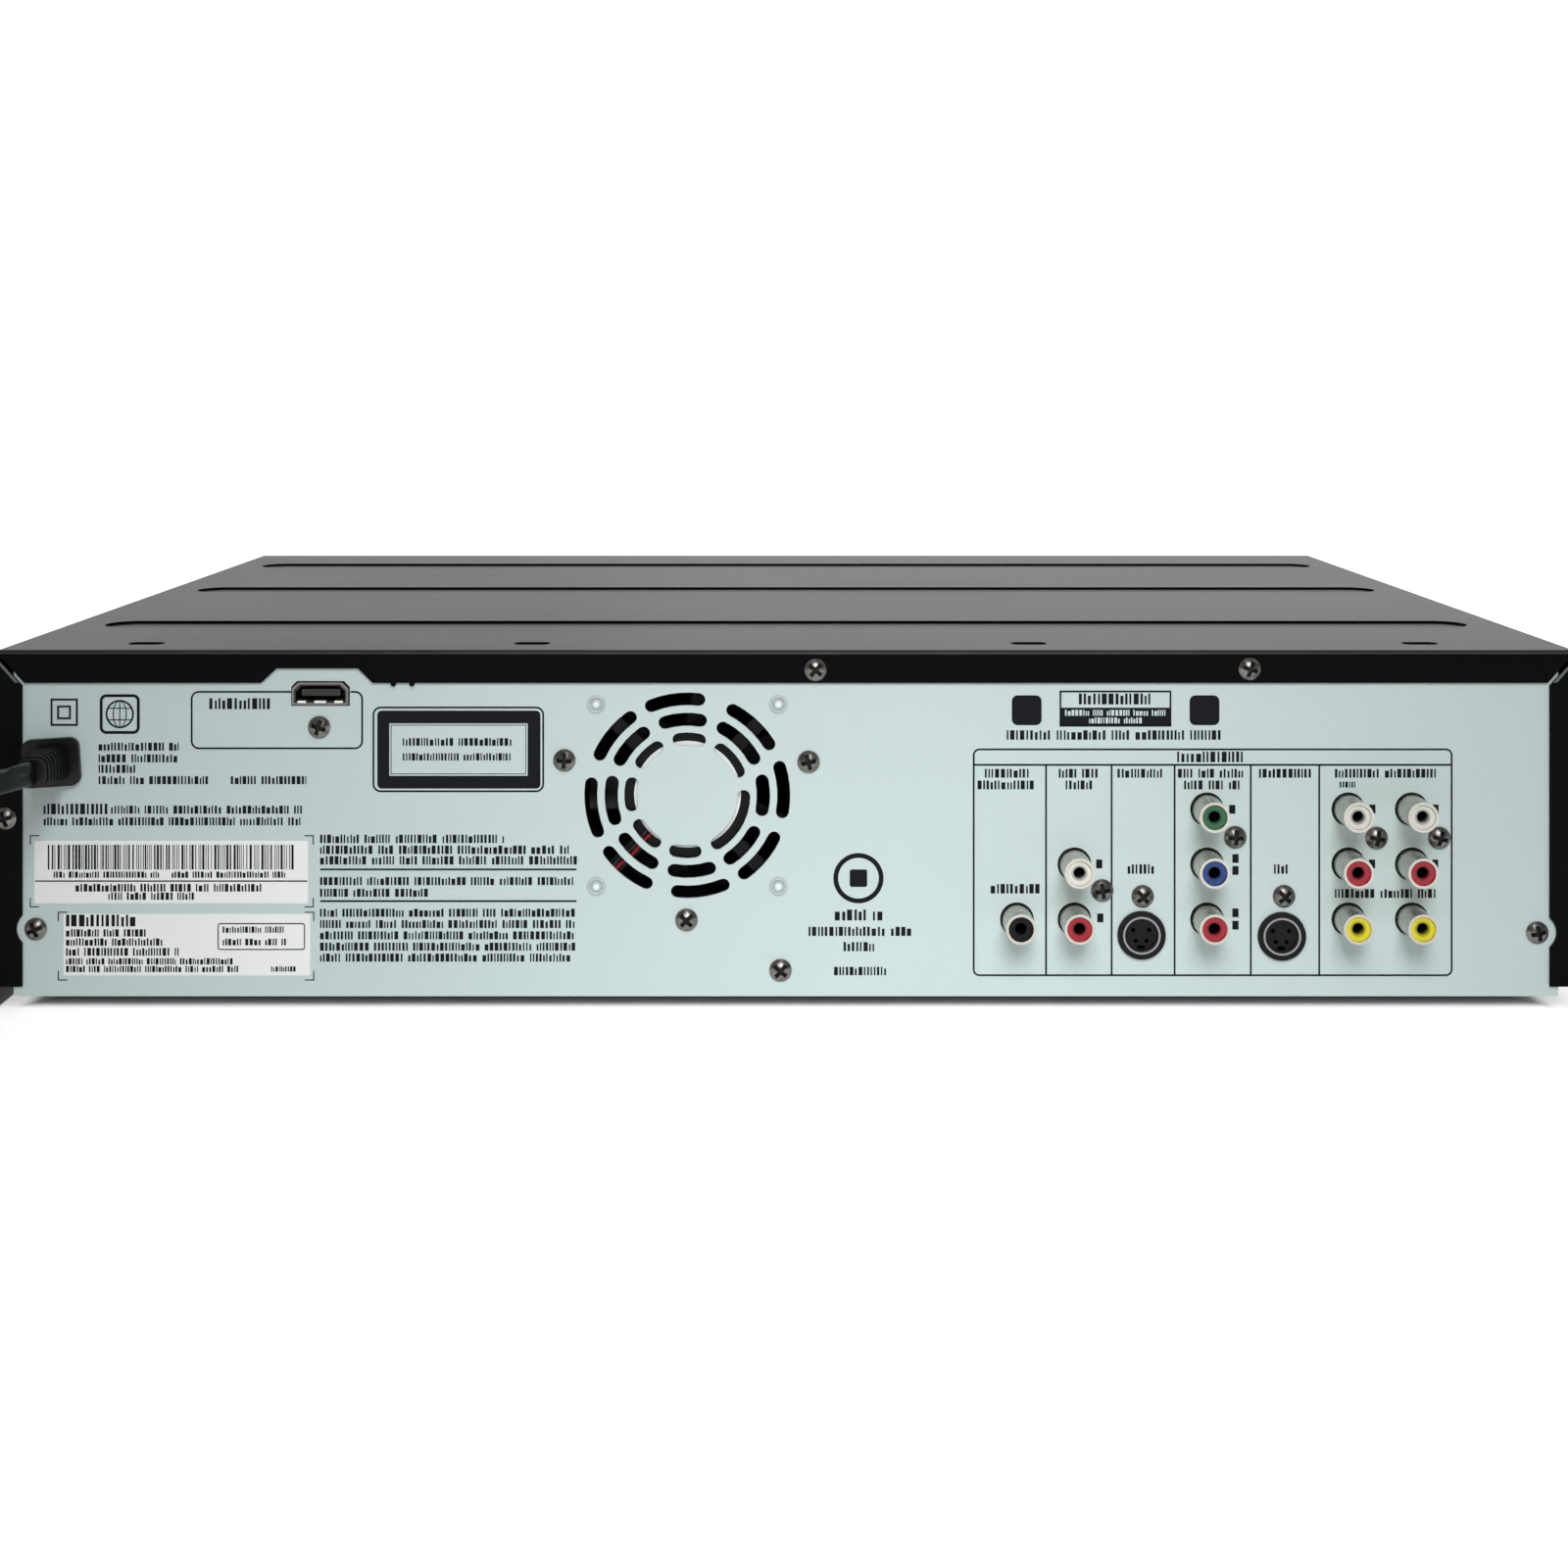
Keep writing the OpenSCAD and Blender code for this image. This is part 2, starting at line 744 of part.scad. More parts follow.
module jack_barrels() {
    rear = concat([coax_at], white_at, red_at, yellow_at, green_at, blue_at);
    color(nickel_c) {
        for (at = rear) barrel(at, panel_in - 5, panel_y + barrel_out);
        for (x = front_jacks_x) {
            barrel([x, front_jacks_z], -161, -148);
        }
        for (at = svideo_at) {
            difference() {
                rod_y(at, panel_in - 4, panel_y + 0.8, 5.15);
                rod_y(at, panel_in - 5, panel_y + 2, 4.65);
            }
        }
    }
}

// A coloured insert that fills a barrel up to its lip, with the pin hole in it
module phono_insert(at, tip) {
    difference() {
        rod_y(at, panel_in - 5, tip, barrel_bore_r);
        rod_y(at, panel_in, tip + over, pin_hole_r);
    }
}

module front_insert(x) {
    difference() {
        rod_y([x, front_jacks_z], -160.2, -148, barrel_bore_r);
        rod_y([x, front_jacks_z], -162, -152, pin_hole_r);
    }
}

module rear_inserts(list) {
    for (at = list) phono_insert(at, panel_y + barrel_out - 0.8);
}

module inserts_white() {
    color([0.93, 0.92, 0.88]) {
        rear_inserts(white_at);
        front_insert(front_jacks_x[1]);
    }
}

module inserts_red() {
    color([0.75, 0.10, 0.12]) {
        rear_inserts(red_at);
        front_insert(front_jacks_x[0]);
    }
}

module inserts_yellow() {
    color([0.93, 0.82, 0.10]) {
        rear_inserts(yellow_at);
        front_insert(front_jacks_x[2]);
    }
}

module insert_green() {
    color([0.12, 0.42, 0.20]) rear_inserts(green_at);
}

module insert_blue() {
    color([0.10, 0.25, 0.60]) rear_inserts(blue_at);
}

module hdmi_outline(inset) {
    w = hdmi_w / 2 - inset;
    h = hdmi_h / 2 - inset;
    c = hdmi_corner;
    polygon([[-w, -h], [w, -h], [w, h - c], [w - c, h], [-w + c, h], [-w, h - c]]);
}

module hdmi_socket() {
    tip = panel_y + 0.5;
    color(nickel_c) {
        difference() {
            slab_y(tip - 12, tip) translate(hdmi_at) hdmi_outline(0);
            slab_y(tip - 9, tip + over) translate(hdmi_at) hdmi_outline(hdmi_wall);
        }
        block(
            [hdmi_at[0] - 5, tip - 9 - eps, hdmi_at[1] - 0.5],
            [hdmi_at[0] + 5, tip - 1.5, hdmi_at[1] + 0.9]
        );
        difference() {
            block(
                [hdmi_at[0] - 5, panel_in - sheet, 74.4],
                [hdmi_at[0] + 5, panel_in, hdmi_at[1] - hdmi_h / 2 + eps]
            );
            rod_y(panel_screws_at[2], panel_in - 2, panel_in + over, screw_hole_r);
        }
    }
}

// ---------- fan ----------
module fan_frame() {
    y0 = panel_in - fan_depth;
    half = fan_size / 2;
    stator_r = 17.4;
    strut_w = 4;
    strut_end = half - 0.6;
    color(plastic_c) {
        difference() {
            slab_y(y0, panel_in) rounded_at(fan_at, fan_size, fan_size, 3);
            rod_y(fan_at, y0 - over, panel_in + over, half - 1.2);
            for (x = [-25, 25], z = [-25, 25]) {
                rod_y([fan_at[0] + x, fan_at[1] + z], y0 - over, panel_in + over, 2.1);
            }
        }
        difference() {
            union() {
                rod_y(fan_at, panel_in - 3, panel_in - 1, stator_r);
                rod_y(fan_at, panel_in - 11, panel_in - 2, 4);
                for (a = [45:90:315]) {
                    translate([fan_at[0], panel_in - 3, fan_at[1]]) rotate([0, a, 0]) {
                        translate([stator_r - 1, 0, -strut_w / 2]) {
                            cube([strut_end - stator_r + 1, 2, strut_w]);
                        }
                    }
                }
            }
            rod_y(fan_at, panel_in - 12, panel_in - 2.2, 1.5 + run_gap);
        }
    }
}

module fan_rotor() {
    hub_back = panel_in - 4.4;
    hub_front = panel_in - 13.8;
    color([0.13, 0.13, 0.14]) {
        difference() {
            rod_y(fan_at, hub_front, hub_back, 14);
            rod_y(fan_at, hub_front + 1.4, hub_back + over, 12.4);
        }
        rod_y(fan_at, hub_front + 1, panel_in - 2.6, 1.5);
        intersection() {
            difference() {
                rod_y(fan_at, hub_front, hub_back, 27.6);
                rod_y(fan_at, hub_front - over, hub_back + over, 13.2);
            }
            for (i = [0:fan_blades - 1]) {
                translate([fan_at[0], (hub_front + hub_back) / 2, fan_at[1]]) {
                    rotate([0, i * 360 / fan_blades, 0]) rotate([38, 0, 0]) {
                        translate([12, -0.7, -6.5]) cube([18, 1.4, 13]);
                    }
                }
            }
        }
    }
}

// ---------- boards ----------
module main_board() {
    chips = [[-190, 84, 22, 22], [-150, 88, 30, 26], [-104, 86, 18, 30], [-72, 84, 14, 14]];
    z0 = board_z + board_t;
    color(brown_board_c) {
        block([-207, 62, board_z], [-48, 150, z0]);
        for (c = chips) {
            block([c[0], c[1], z0 - eps], [c[0] + c[2], c[1] + c[3], z0 + 2.4]);
        }
        for (i = [0:7]) rod_z([-196 + 19 * i, 128], z0 - eps, 24, 3.2);
    }
}

module power_board() {
    color(brown_board_c) {
        difference() {
            block([92, 72, board_z], [208, 150, board_z + board_t]);
            for (at = [digital_posts[2], digital_posts[3]]) rod_z(at, board_z - over, board_z + 3, 3.2);
        }
        block([100, 132, board_z + board_t - eps], [126, 142, 24]);
        block([184, 132, board_z + board_t - eps], [198, 140, 22]);
    }
}

module transformer() {
    z0 = board_z + board_t;
    color([0.85, 0.78, 0.35]) {
        block([104, 98, z0], [138, 104, z0 + 26]);
        block([104, 120, z0], [138, 126, z0 + 26]);
        block([110, 104 - eps, z0 + 2], [132, 120 + eps, z0 + 24]);
    }
}

module capacitors() {
    z0 = board_z + board_t;
    color([0.12, 0.13, 0.22]) {
        for (y = [94, 116]) rod_z([192, y], z0, z0 + 28, 9);
        for (x = [108, 122, 136]) rod_z([x, 86], z0, z0 + 16, 5);
    }
}

module heat_sink() {
    z0 = board_z + board_t;
    color(alloy_c) {
        block([160, 84, z0], [163, 140, z0 + 36]);
        for (i = [0:6]) block([163 - eps, 85 + 9 * i, z0 + 3], [172, 86.4 + 9 * i, z0 + 36]);
    }
}

module digital_board() {
    color(board_c) {
        block([66, 66, digital_z], [160, panel_in - 2, digital_z + board_t]);
        block([84, 84, digital_z + board_t - eps], [116, 116, digital_z + board_t + 7]);
        block([128, 80, digital_z + board_t - eps], [150, 94, digital_z + board_t + 2]);
        block([128, 104, digital_z + board_t - eps], [150, 118, digital_z + board_t + 2]);
    }
}

// ---------- mains lead ----------
module cord_bushing() {
    ribs = 7;
    collar_out = panel_y + 1.6;
    rib_step = 1.9;
    color([0.04, 0.04, 0.05]) {
        translate([bushing_at[0], 0, bushing_at[1]]) rotate([0, bushing_tilt, 0]) {
            slab_y(panel_y, collar_out) rounded_at([0, 0], bushing_w, bushing_h, 2.6);
            slab_y(panel_in - 5, panel_y + eps) rounded_at([0, 0], bushing_w - 2.6, bushing_h - 2.6, 1.9);
            slab_y(collar_out - eps, sleeve_end) rounded_at([0, 0], 7.6, 7.6, 2.4);
            for (i = [0:ribs - 1]) {
                slab_y(collar_out + 0.4 + rib_step * i, collar_out + 1.5 + rib_step * i) {
                    rounded_at([0, 0], 10.2 - 0.3 * i, 10.2 - 0.3 * i, 2.8);
                }
            }
        }
    }
}

function unit(v) = v / norm(v);
function along(p, i) = unit(p[min(i + 1, len(p) - 1)] - p[max(i - 1, 0)]);
function side_of(t) = unit(cross(t, [0, 0, 1]));
function ring_at(p, i, r, n) = let (t = along(p, i), s = side_of(t), u = cross(s, t))
    [for (k = [0:n - 1]) p[i] + r * cos(360 * k / n) * s + r * sin(360 * k / n) * u];

// A round tube swept along a list of points
module tube(p, r, n) {
    rings = len(p);
    points = [for (i = [0:rings - 1]) each ring_at(p, i, r, n)];
    sides = [
        for (i = [0:rings - 2], k = [0:n - 1])
            [i * n + k, i * n + (k + 1) % n, (i + 1) * n + (k + 1) % n, (i + 1) * n + k]
    ];
    first = [for (k = [0:n - 1]) n - 1 - k];
    last = [for (k = [0:n - 1]) (rings - 1) * n + k];
    polyhedron(points = points, faces = [first, each sides, last]);
}

module power_cord() {
    color([0.05, 0.05, 0.05]) {
        tube(lead_route, lead_r, 10);
        tube(tail_route, lead_r, 10);
    }
}

module cord_coil() {
    color([0.05, 0.05, 0.05]) {
        translate([coil_at[0], coil_at[1], coil_lift]) rotate_extrude() {
            rounded([coil_in_r - lead_r / 2, 0], [coil_out_r + lead_r / 2, lead_w], 1.2);
        }
    }
}

module power_plug() {
    neck = 20;
    body = 26;
    blade = 17;
    color([0.05, 0.05, 0.05]) {
        translate(plug_at) {
            hull() {
                rotate([-90, 0, 0]) cylinder(r = 4.2, h = 1, $fn = 24);
                translate([0, neck - 1, 0]) rotate([-90, 0, 0]) cylinder(r = 5.6, h = 1, $fn = 24);
            }
            hull() {
                translate([-7, neck - 1, -5.5]) cube([14, 1, 11]);
                translate([-11.5, neck + 8, -7.6]) cube([23, body - 9, 15.2]);
                translate([-10, neck + body - 1.5, -6.6]) cube([20, 1.5, 13.2]);
            }
        }
    }
    color(nickel_c) {
        translate(plug_at) {
            for (s = [-1, 1]) {
                translate([s * 6.35 - 0.75, neck + body - eps, -3.2]) cube([1.5, blade, 6.4]);
            }
        }
    }
}

// ---------- cassette deck ----------
module deck_plate() {
    x0 = deck_x - 102;
    x1 = deck_x + 102;
    color(steel_c) {
        difference() {
            union() {
                block([x0, -130, plate_z], [x1, 112, plate_top]);
                for (at = deck_legs) rod_z(at, floor_z, plate_z + eps, 4);
                rod_z(capstan_at, plate_z, 39, 5);
            }
            for (at = deck_legs) rod_z(at, floor_z - over, floor_z + 9, screw_hole_r);
            rod_z(capstan_at, plate_z - over, 39 + over, 1.5 + run_gap);
            for (s = [-1, 1]) {
                translate([deck_x + s * guide_x, 0, plate_z - over]) linear_extrude(3 + over) {
                    rounded([-2.3, guide_y - 2.3], [2.3, guide_y + guide_travel + 2.3], 2.29);
                }
            }
        }
        for (s = [-1, 1]) rod_z([deck_x + s * reel_x, reel_y], plate_top - eps, 46, 2);
        rod_z(pinch_pivot, plate_top - eps, 47, 2);
    }
}

module loader_frame() {
    inner = bay_w / 2 + 4;
    outer = inner + 1.2;
    color(steel_c) {
        for (s = [-1, 1]) {
            x = deck_x + s * (inner + outer) / 2;
            difference() {
                block([x - 0.6, -128, plate_top], [x + 0.6, 15, 93]);
                for (z = rail_slots_z) {
                    block(
                        [x - 2, rail_pins_y[0] - 1.8, z - 1.8],
                        [x + 2, rail_pins_y[1] + carriage_in + 1.8, z + 1.8]
                    );
                }
                block([x - 2, -118, 52], [x + 2, -70, 78]);
            }
        }
        block([deck_x - outer, 3, 91.8], [deck_x + outer, 14, 93]);
    }
}

module carriage_guides() {
    inner = bay_w / 2 + 1.4;
    outer = inner + 2;
    bar_y = -58;
    color([0.30, 0.31, 0.33]) {
        for (s = [-1, 1]) {
            x = deck_x + s * (inner + outer) / 2;
            difference() {
                union() {
                    block([x - 1, -122, 40], [x + 1, -38, 90]);
                    block([x - 1, bar_y - 5, 90 - eps], [x + 1, bar_y + 5, 96]);
                }
                for (y = holder_pins_y) {
                    block(
                        [x - 2, y - 1.8, holder_pin_z - carriage_drop - 1.8],
                        [x + 2, y + 1.8, holder_pin_z + 1.8]
                    );
                }
            }
            for (y = rail_pins_y, z = rail_slots_z) {
                rod_x(x + (s > 0 ? 1 - eps : -2.7), x + (s > 0 ? 2.7 : -1 + eps), y, z, 1.5);
            }
        }
        block([deck_x - inner - eps, bar_y - 5, 94.5], [deck_x + inner + eps, bar_y + 5, 96]);
    }
}

module cassette_carriage() {
    inner = bay_w / 2;
    outer = inner + 1;
    y1 = holder_front + holder_len;
    z1 = holder_z + holder_h;
    pin_out = 2;
    color(alloy_c) {
        difference() {
            block([deck_x - outer, holder_front, holder_z], [deck_x + outer, y1, z1]);
            block([deck_x - inner, holder_front - over, holder_z + 1], [deck_x + inner, y1 + over, z1 - 1]);
            block(
                [deck_x - inner + 12, holder_front - over, holder_z - over],
                [deck_x + inner - 12, y1 + over, holder_z + 2]
            );
            block(
                [deck_x - inner + 20, holder_front + 22, z1 - 2],
                [deck_x + inner - 20, y1 - 20, z1 + over]
            );
        }
        for (y = holder_pins_y) {
            rod_x(deck_x - outer - pin_out, deck_x - outer + eps, y, holder_pin_z, 1.5);
            rod_x(deck_x + outer - eps, deck_x + outer + pin_out, y, holder_pin_z, 1.5);
        }
    }
}

module cassette_door() {
    color(plastic_c) {
        block(
            [door_x - door_w / 2, door_axis[0] - door_t / 2, door_low],
            [door_x + door_w / 2, door_axis[0] + door_t / 2, door_high]
        );
        rod_x(door_x - door_w / 2 - 2.2, door_x - door_w / 2 + eps, door_axis[0], door_axis[1], 1);
        rod_x(door_x + door_w / 2 - eps, door_x + door_w / 2 + 2.2, door_axis[0], door_axis[1], 1);
    }
}

module drum_base() {
    color(alloy_c) {
        difference() {
            union() {
                rod_z([drum_at[0], drum_at[1]], plate_top, drum_at[2] - 8, 14);
                translate(drum_at) rotate([drum_tilt, 0, 0]) translate([0, 0, -12]) {
                    cylinder(r = drum_r, h = 20);
                }
            }
            translate(drum_at) rotate([drum_tilt, 0, 0]) translate([0, 0, -9]) {
                cylinder(r = 2.5 + run_gap, h = 20);
            }
        }
    }
}

module upper_drum() {
    color([0.86, 0.86, 0.87]) {
        translate(drum_at) rotate([drum_tilt, 0, 0]) {
            difference() {
                translate([0, 0, 8.4]) cylinder(r = drum_r, h = 19.6);
                translate([0, 0, 24]) cylinder(r = drum_r - 6, h = 5);
            }
            translate([0, 0, 24 - eps]) cylinder(r = 9, h = 3);
            translate([0, 0, -8]) cylinder(r = 2.5, h = 17);
        }
    }
}

module capstan_flywheel() {
    color(alloy_c) {
        difference() {
            rod_z(capstan_at, 19, 26, 21);
            rod_z(capstan_at, 18, 22, 16);
        }
        rod_z(capstan_at, 14, 23, 5);
        rod_z(capstan_at, 22, 60, 1.5);
    }
}

module pinch_arm() {
    color(steel_c) {
        difference() {
            union() {
                rod_z(pinch_pivot, 39.5, 46, 4);
                translate([pinch_pivot[0], pinch_pivot[1], 40.5]) rotate([0, 0, pinch_rest]) {
                    linear_extrude(2) {
                        circle(r = 5);
                        translate([pinch_len, 0]) circle(r = 5);
                        translate([0, -4]) square([pinch_len, 8]);
                    }
                }
                rod_z(pinch_roller_at, 41.5, 58, 1.2);
                rod_z(pinch_roller_at, 57.5, 58.5, 2.4);
            }
            rod_z(pinch_pivot, 38, 48, 2 + run_gap);
        }
    }
}

module pinch_roller() {
    color([0.08, 0.08, 0.08]) {
        difference() {
            rod_z(pinch_roller_at, 43.2, 57, 6);
            rod_z(pinch_roller_at, 42, 58, 1.2 + run_gap);
        }
    }
}

module tape_guide(s) {
    at = [deck_x + s * guide_x, guide_y];
    color(steel_c) {
        block([at[0] - 5.5, at[1] - 5, 30.3], [at[0] + 5.5, at[1] + 5, 34]);
        rod_z(at, 28, 30.5, 2);
        block([at[0] - 3.5, at[1] - 4.5, 26.5], [at[0] + 3.5, at[1] + 4.5, 28.4]);
        rod_z(at, 34 - eps, 37, 1.5);
        rod_z(at, 37 - eps, 58, 3);
        rod_z(at, 58 - eps, 60, 3.8);
    }
}

module supply_guide() {
    tape_guide(-1);
}

module takeup_guide() {
    tape_guide(1);
}

module reel(s) {
    at = [deck_x + s * reel_x, reel_y];
    color([0.90, 0.89, 0.84]) {
        difference() {
            union() {
                rod_z(at, 31.5, 35.5, 22);
                rod_z(at, 35.5 - eps, 50, 8);
                for (a = [0:120:240]) {
                    translate([at[0], at[1], 38]) rotate([0, 0, a]) {
                        translate([7, -0.8, 0]) cube([2.6, 1.6, 10]);
                    }
                }
            }
            rod_z(at, 30, 47, 2 + run_gap);
        }
    }
}

module supply_reel() {
    reel(-1);
}

module takeup_reel() {
    reel(1);
}

// ---------- disc drive ----------
// A straight rack's teeth, pointing to -x, with a gap centred on the pinion
module rack_teeth() {
    half = 0.175 * tooth_pitch;
    y_low = pinion_at[1] - 1.5 * tooth_pitch;
    for (i = [0:rack_teeth - 1]) {
        y = y_low + i * tooth_pitch;
        polygon([
            [rack_line + tooth_deep + eps, y - half - 0.35], [rack_line - tooth_high, y - half + 0.25],
            [rack_line - tooth_high, y + half - 0.25], [rack_line + tooth_deep + eps, y + half + 0.35]
        ]);
    }
}

module pinion_outline() {
    half = 0.175 * tooth_pitch;
    circle(r = pinion_r - tooth_deep);
    for (i = [0:pinion_teeth - 1]) {
        rotate(i * 360 / pinion_teeth) {
            polygon([
                [pinion_r - tooth_deep - 0.4, -half - 0.35], [pinion_r + tooth_high, -half + 0.25],
                [pinion_r + tooth_high, half - 0.25], [pinion_r - tooth_deep - 0.4, half + 0.35]
            ]);
        }
    }
}

module tray_pinion() {
    color([0.92, 0.92, 0.88]) {
        translate([pinion_at[0], pinion_at[1], 69.8]) linear_extrude(3.6) {
            difference() {
                pinion_outline();
                circle(r = 1.5 + run_gap);
            }
        }
    }
}

module disc_tray() {
    x0 = drive_x - tray_half_w;
    x1 = drive_x + tray_half_w;
    rail_back = 40;
    rail_w = 17;
    front = bezel_inner + 0.3;
    rack_y = pinion_at[1] - 2 * tooth_pitch;
    slot_y = tray_back + over;
    color([0.12, 0.12, 0.13]) {
        difference() {
            union() {
                block([x0, front, tray_z], [x1, tray_back, tray_z + tray_t]);
                block([x0, tray_back - eps, tray_z], [x0 + rail_w, rail_back, tray_z + tray_t]);
                block([x1 - rail_w, tray_back - eps, tray_z], [x1, rail_back, tray_z + tray_t]);
            }
            rod_z(disc_at, tray_z + 3, tray_z + tray_t + over, disc_well_r);
            rod_z(disc_at, tray_z + 1.8, tray_z + 4, 41);
            rod_z(disc_at, tray_z - over, tray_z + 4, 22);
            block([drive_x - 22, disc_at[1], tray_z - over], [drive_x + 22, slot_y, tray_z + 3 + eps]);
            block([drive_x - 22, -12, tray_z - over], [drive_x + 22, slot_y, tray_z + tray_t + over]);
        }
        block(
            [rack_line + tooth_deep, rack_y, tray_z - 4],
            [rack_line + 4, rack_y + rack_teeth * tooth_pitch, tray_z + eps]
        );
        translate([0, 0, tray_z - 4]) linear_extrude(4 + eps) rack_teeth();
    }
}

module tray_front() {
    x = tray_open_w / 2 - 0.5;
    color(plastic_c) {
        slab_y(front_face, bezel_inner + 0.3) {
            rounded([drive_x - x, tray_low + 0.5], [drive_x + x, tray_high - 0.5], 1);
        }
    }
}

module drive_housing() {
    x0 = drive_x - drive_half_w;
    x1 = drive_x + drive_half_w;
    color([0.20, 0.20, 0.21]) {
        difference() {
            union() {
                difference() {
                    block([x0, drive_front, drive_floor], [x1, drive_back, drive_top]);
                    block(
                        [x0 + 2, drive_front - over, drive_floor + 1.5],
                        [x1 - 2, drive_back - 2, drive_top + over]
                    );
                }
                for (s = [-1, 1]) tray_channel(s);
                for (at = drive_legs) rod_z(at, floor_z, drive_floor + eps, 4);
                rod_z(pinion_at, drive_floor + 1, 69.3, 4);
                for (s = [-1, 1]) {
                    x = drive_x + s * 40.5;
                    block([x - 1.5, 14, drive_floor + 1], [x + 1.5, 26, 64]);
                }
            }
            for (at = drive_legs) rod_z(at, floor_z - over, floor_z + 9, screw_hole_r);
            rod_z(pinion_at, 69.3, tray_z - 0.3, 7.6);
            rod_x(drive_x - 43, drive_x + 43, traverse_pivot[0], traverse_pivot[1], 1.5 + run_gap);
        }
        rod_z(pinion_at, 69.3 - eps, 73, 1.5);
    }
}

module tray_channel(s) {
    wall = drive_x + s * (drive_half_w - 2);
    tip = drive_x + s * (tray_half_w - 3);
    edge = drive_x + s * (tray_half_w + 0.4);
    difference() {
        block([min(wall, tip), drive_front + 2, tray_z - 2.3], [max(wall, tip), 50, tray_z + tray_t + 2]);
        block(
            [min(edge, tip - s * over), drive_front, tray_z - 0.3],
            [max(edge, tip - s * over), 52, tray_z + tray_t + 0.3]
        );
    }
}

module drive_cover() {
    color(steel_c) {
        difference() {
            block(
                [drive_x - drive_half_w, drive_front, drive_top],
                [drive_x + drive_half_w, drive_back, drive_top + 1]
            );
            for (x = [-50, 50]) {
                translate([drive_x + x, disc_at[1] + 60, drive_top - over]) linear_extrude(1 + 2 * over) {
                    rounded([-15, -20], [15, 20], 4);
                }
            }
        }
        rod_z(disc_at, tray_z + tray_t + 1.2, drive_top + eps, 14);
    }
}

module traverse_frame() {
    x0 = drive_x - 38;
    x1 = drive_x + 38;
    color([0.55, 0.56, 0.58]) {
        difference() {
            block([x0, -100, 58], [x1, 24, 60]);
            block([drive_x - 16, -56, 57], [drive_x + 16, 6, 61]);
        }
        for (x = [-rail_x, rail_x], y = [-68, 12]) {
            block([drive_x + x - 4, y, 60 - eps], [drive_x + x + 4, y + 4, rail_z + 2.5]);
        }
        rod_x(x0 - 3.7, x0 + eps, traverse_pivot[0], traverse_pivot[1], 1.5);
        rod_x(x1 - eps, x1 + 3.7, traverse_pivot[0], traverse_pivot[1], 1.5);
    }
    color(nickel_c) {
        for (x = [-rail_x, rail_x]) rod_y([drive_x + x, rail_z], -66, 14, rail_r);
    }
}

module spindle_motor() {
    color(alloy_c) {
        difference() {
            rod_z(disc_at, 60, motor_top, 12);
            rod_z(disc_at, 61, motor_top + over, 1 + run_gap);
        }
    }
}

module turntable() {
    color([0.15, 0.15, 0.16]) {
        rod_z(disc_at, motor_top + 1.3, motor_top + 3.3, 13);
        rod_z(disc_at, motor_top + 3.3 - eps, motor_top + 5.6, 7.3);
        rod_z(disc_at, 61.5, motor_top + 1.3 + eps, 1);
    }
}

module pickup_sled() {
    y1 = sled_y + sled_len;
    color([0.25, 0.25, 0.27]) {
        difference() {
            union() {
                block([drive_x - 28, sled_y, 61], [drive_x + 28, y1, 68]);
                block([drive_x - 16, sled_y + 2, 68 - eps], [drive_x + 16, y1 - 2, 69.5]);
            }
            for (x = [-rail_x, rail_x]) {
                rod_y([drive_x + x, rail_z], sled_y - over, y1 + over, rail_r + run_gap);
            }
        }
        rod_z([drive_x, sled_y + 8], 69.5 - eps, 70.5, 4);
    }
}

chassis_base();
rear_panel();
top_cover();
front_bezel();
rubber_feet();
display_window();
front_board();
main_board();
power_board();
transformer();
capacitors();
heat_sink();
digital_board();
socket_bodies();
jack_barrels();
inserts_white();
inserts_red();
inserts_yellow();
insert_green();
insert_blue();
hdmi_socket();
fan_frame();
panel_screws();
base_screws();
cord_bushing();
power_cord();
cord_coil();
power_plug();
deck_plate();
loader_frame();
drum_base();
drive_housing();
drive_cover();
traverse_frame();
spindle_motor();
fan_rotor();
upper_drum();
capstan_flywheel();
pinch_arm();
pinch_roller();
supply_guide();
takeup_guide();
supply_reel();
takeup_reel();
carriage_guides();
cassette_carriage();
cassette_door();
disc_tray();
tray_front();
tray_pinion();
turntable();
pickup_sled();
power_button();
eject_button();
tray_button();
rewind_button();
play_button();
forward_button();
stop_button();
record_button();
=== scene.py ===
import math
import random

import bmesh
import bpy
from bpy.props import FloatProperty, FloatVectorProperty, PointerProperty
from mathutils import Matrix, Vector


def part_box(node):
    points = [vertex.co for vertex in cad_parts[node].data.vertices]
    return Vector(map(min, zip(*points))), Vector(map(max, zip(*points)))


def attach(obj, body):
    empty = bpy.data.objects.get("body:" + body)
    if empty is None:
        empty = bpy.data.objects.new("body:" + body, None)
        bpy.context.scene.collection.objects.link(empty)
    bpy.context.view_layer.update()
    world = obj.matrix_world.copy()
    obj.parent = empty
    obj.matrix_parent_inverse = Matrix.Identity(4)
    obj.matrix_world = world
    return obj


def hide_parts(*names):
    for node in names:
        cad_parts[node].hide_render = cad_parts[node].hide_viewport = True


bl_info = {
    "name": "Disc and cassette player",
    "version": (1, 0, 0),
    "blender": (4, 5, 0),
    "location": "View3D > Sidebar > Player",
    "description": "Dresses the packed player: finishes, panel print, labels, lead and stage",
    "category": "Object",
}

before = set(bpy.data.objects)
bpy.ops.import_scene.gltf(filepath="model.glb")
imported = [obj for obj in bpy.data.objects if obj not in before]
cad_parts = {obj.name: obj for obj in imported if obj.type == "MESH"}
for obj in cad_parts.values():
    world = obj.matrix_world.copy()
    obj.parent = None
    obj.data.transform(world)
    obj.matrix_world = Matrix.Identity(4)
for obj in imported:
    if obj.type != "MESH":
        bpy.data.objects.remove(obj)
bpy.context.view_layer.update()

MM = 0.001
CASE = "case"

# The panel's outer face, under the fan's rivets
PANEL_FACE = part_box("rear_panel")[0][1] / MM + 0.8
KEY_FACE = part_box("play_button")[0][1] / MM

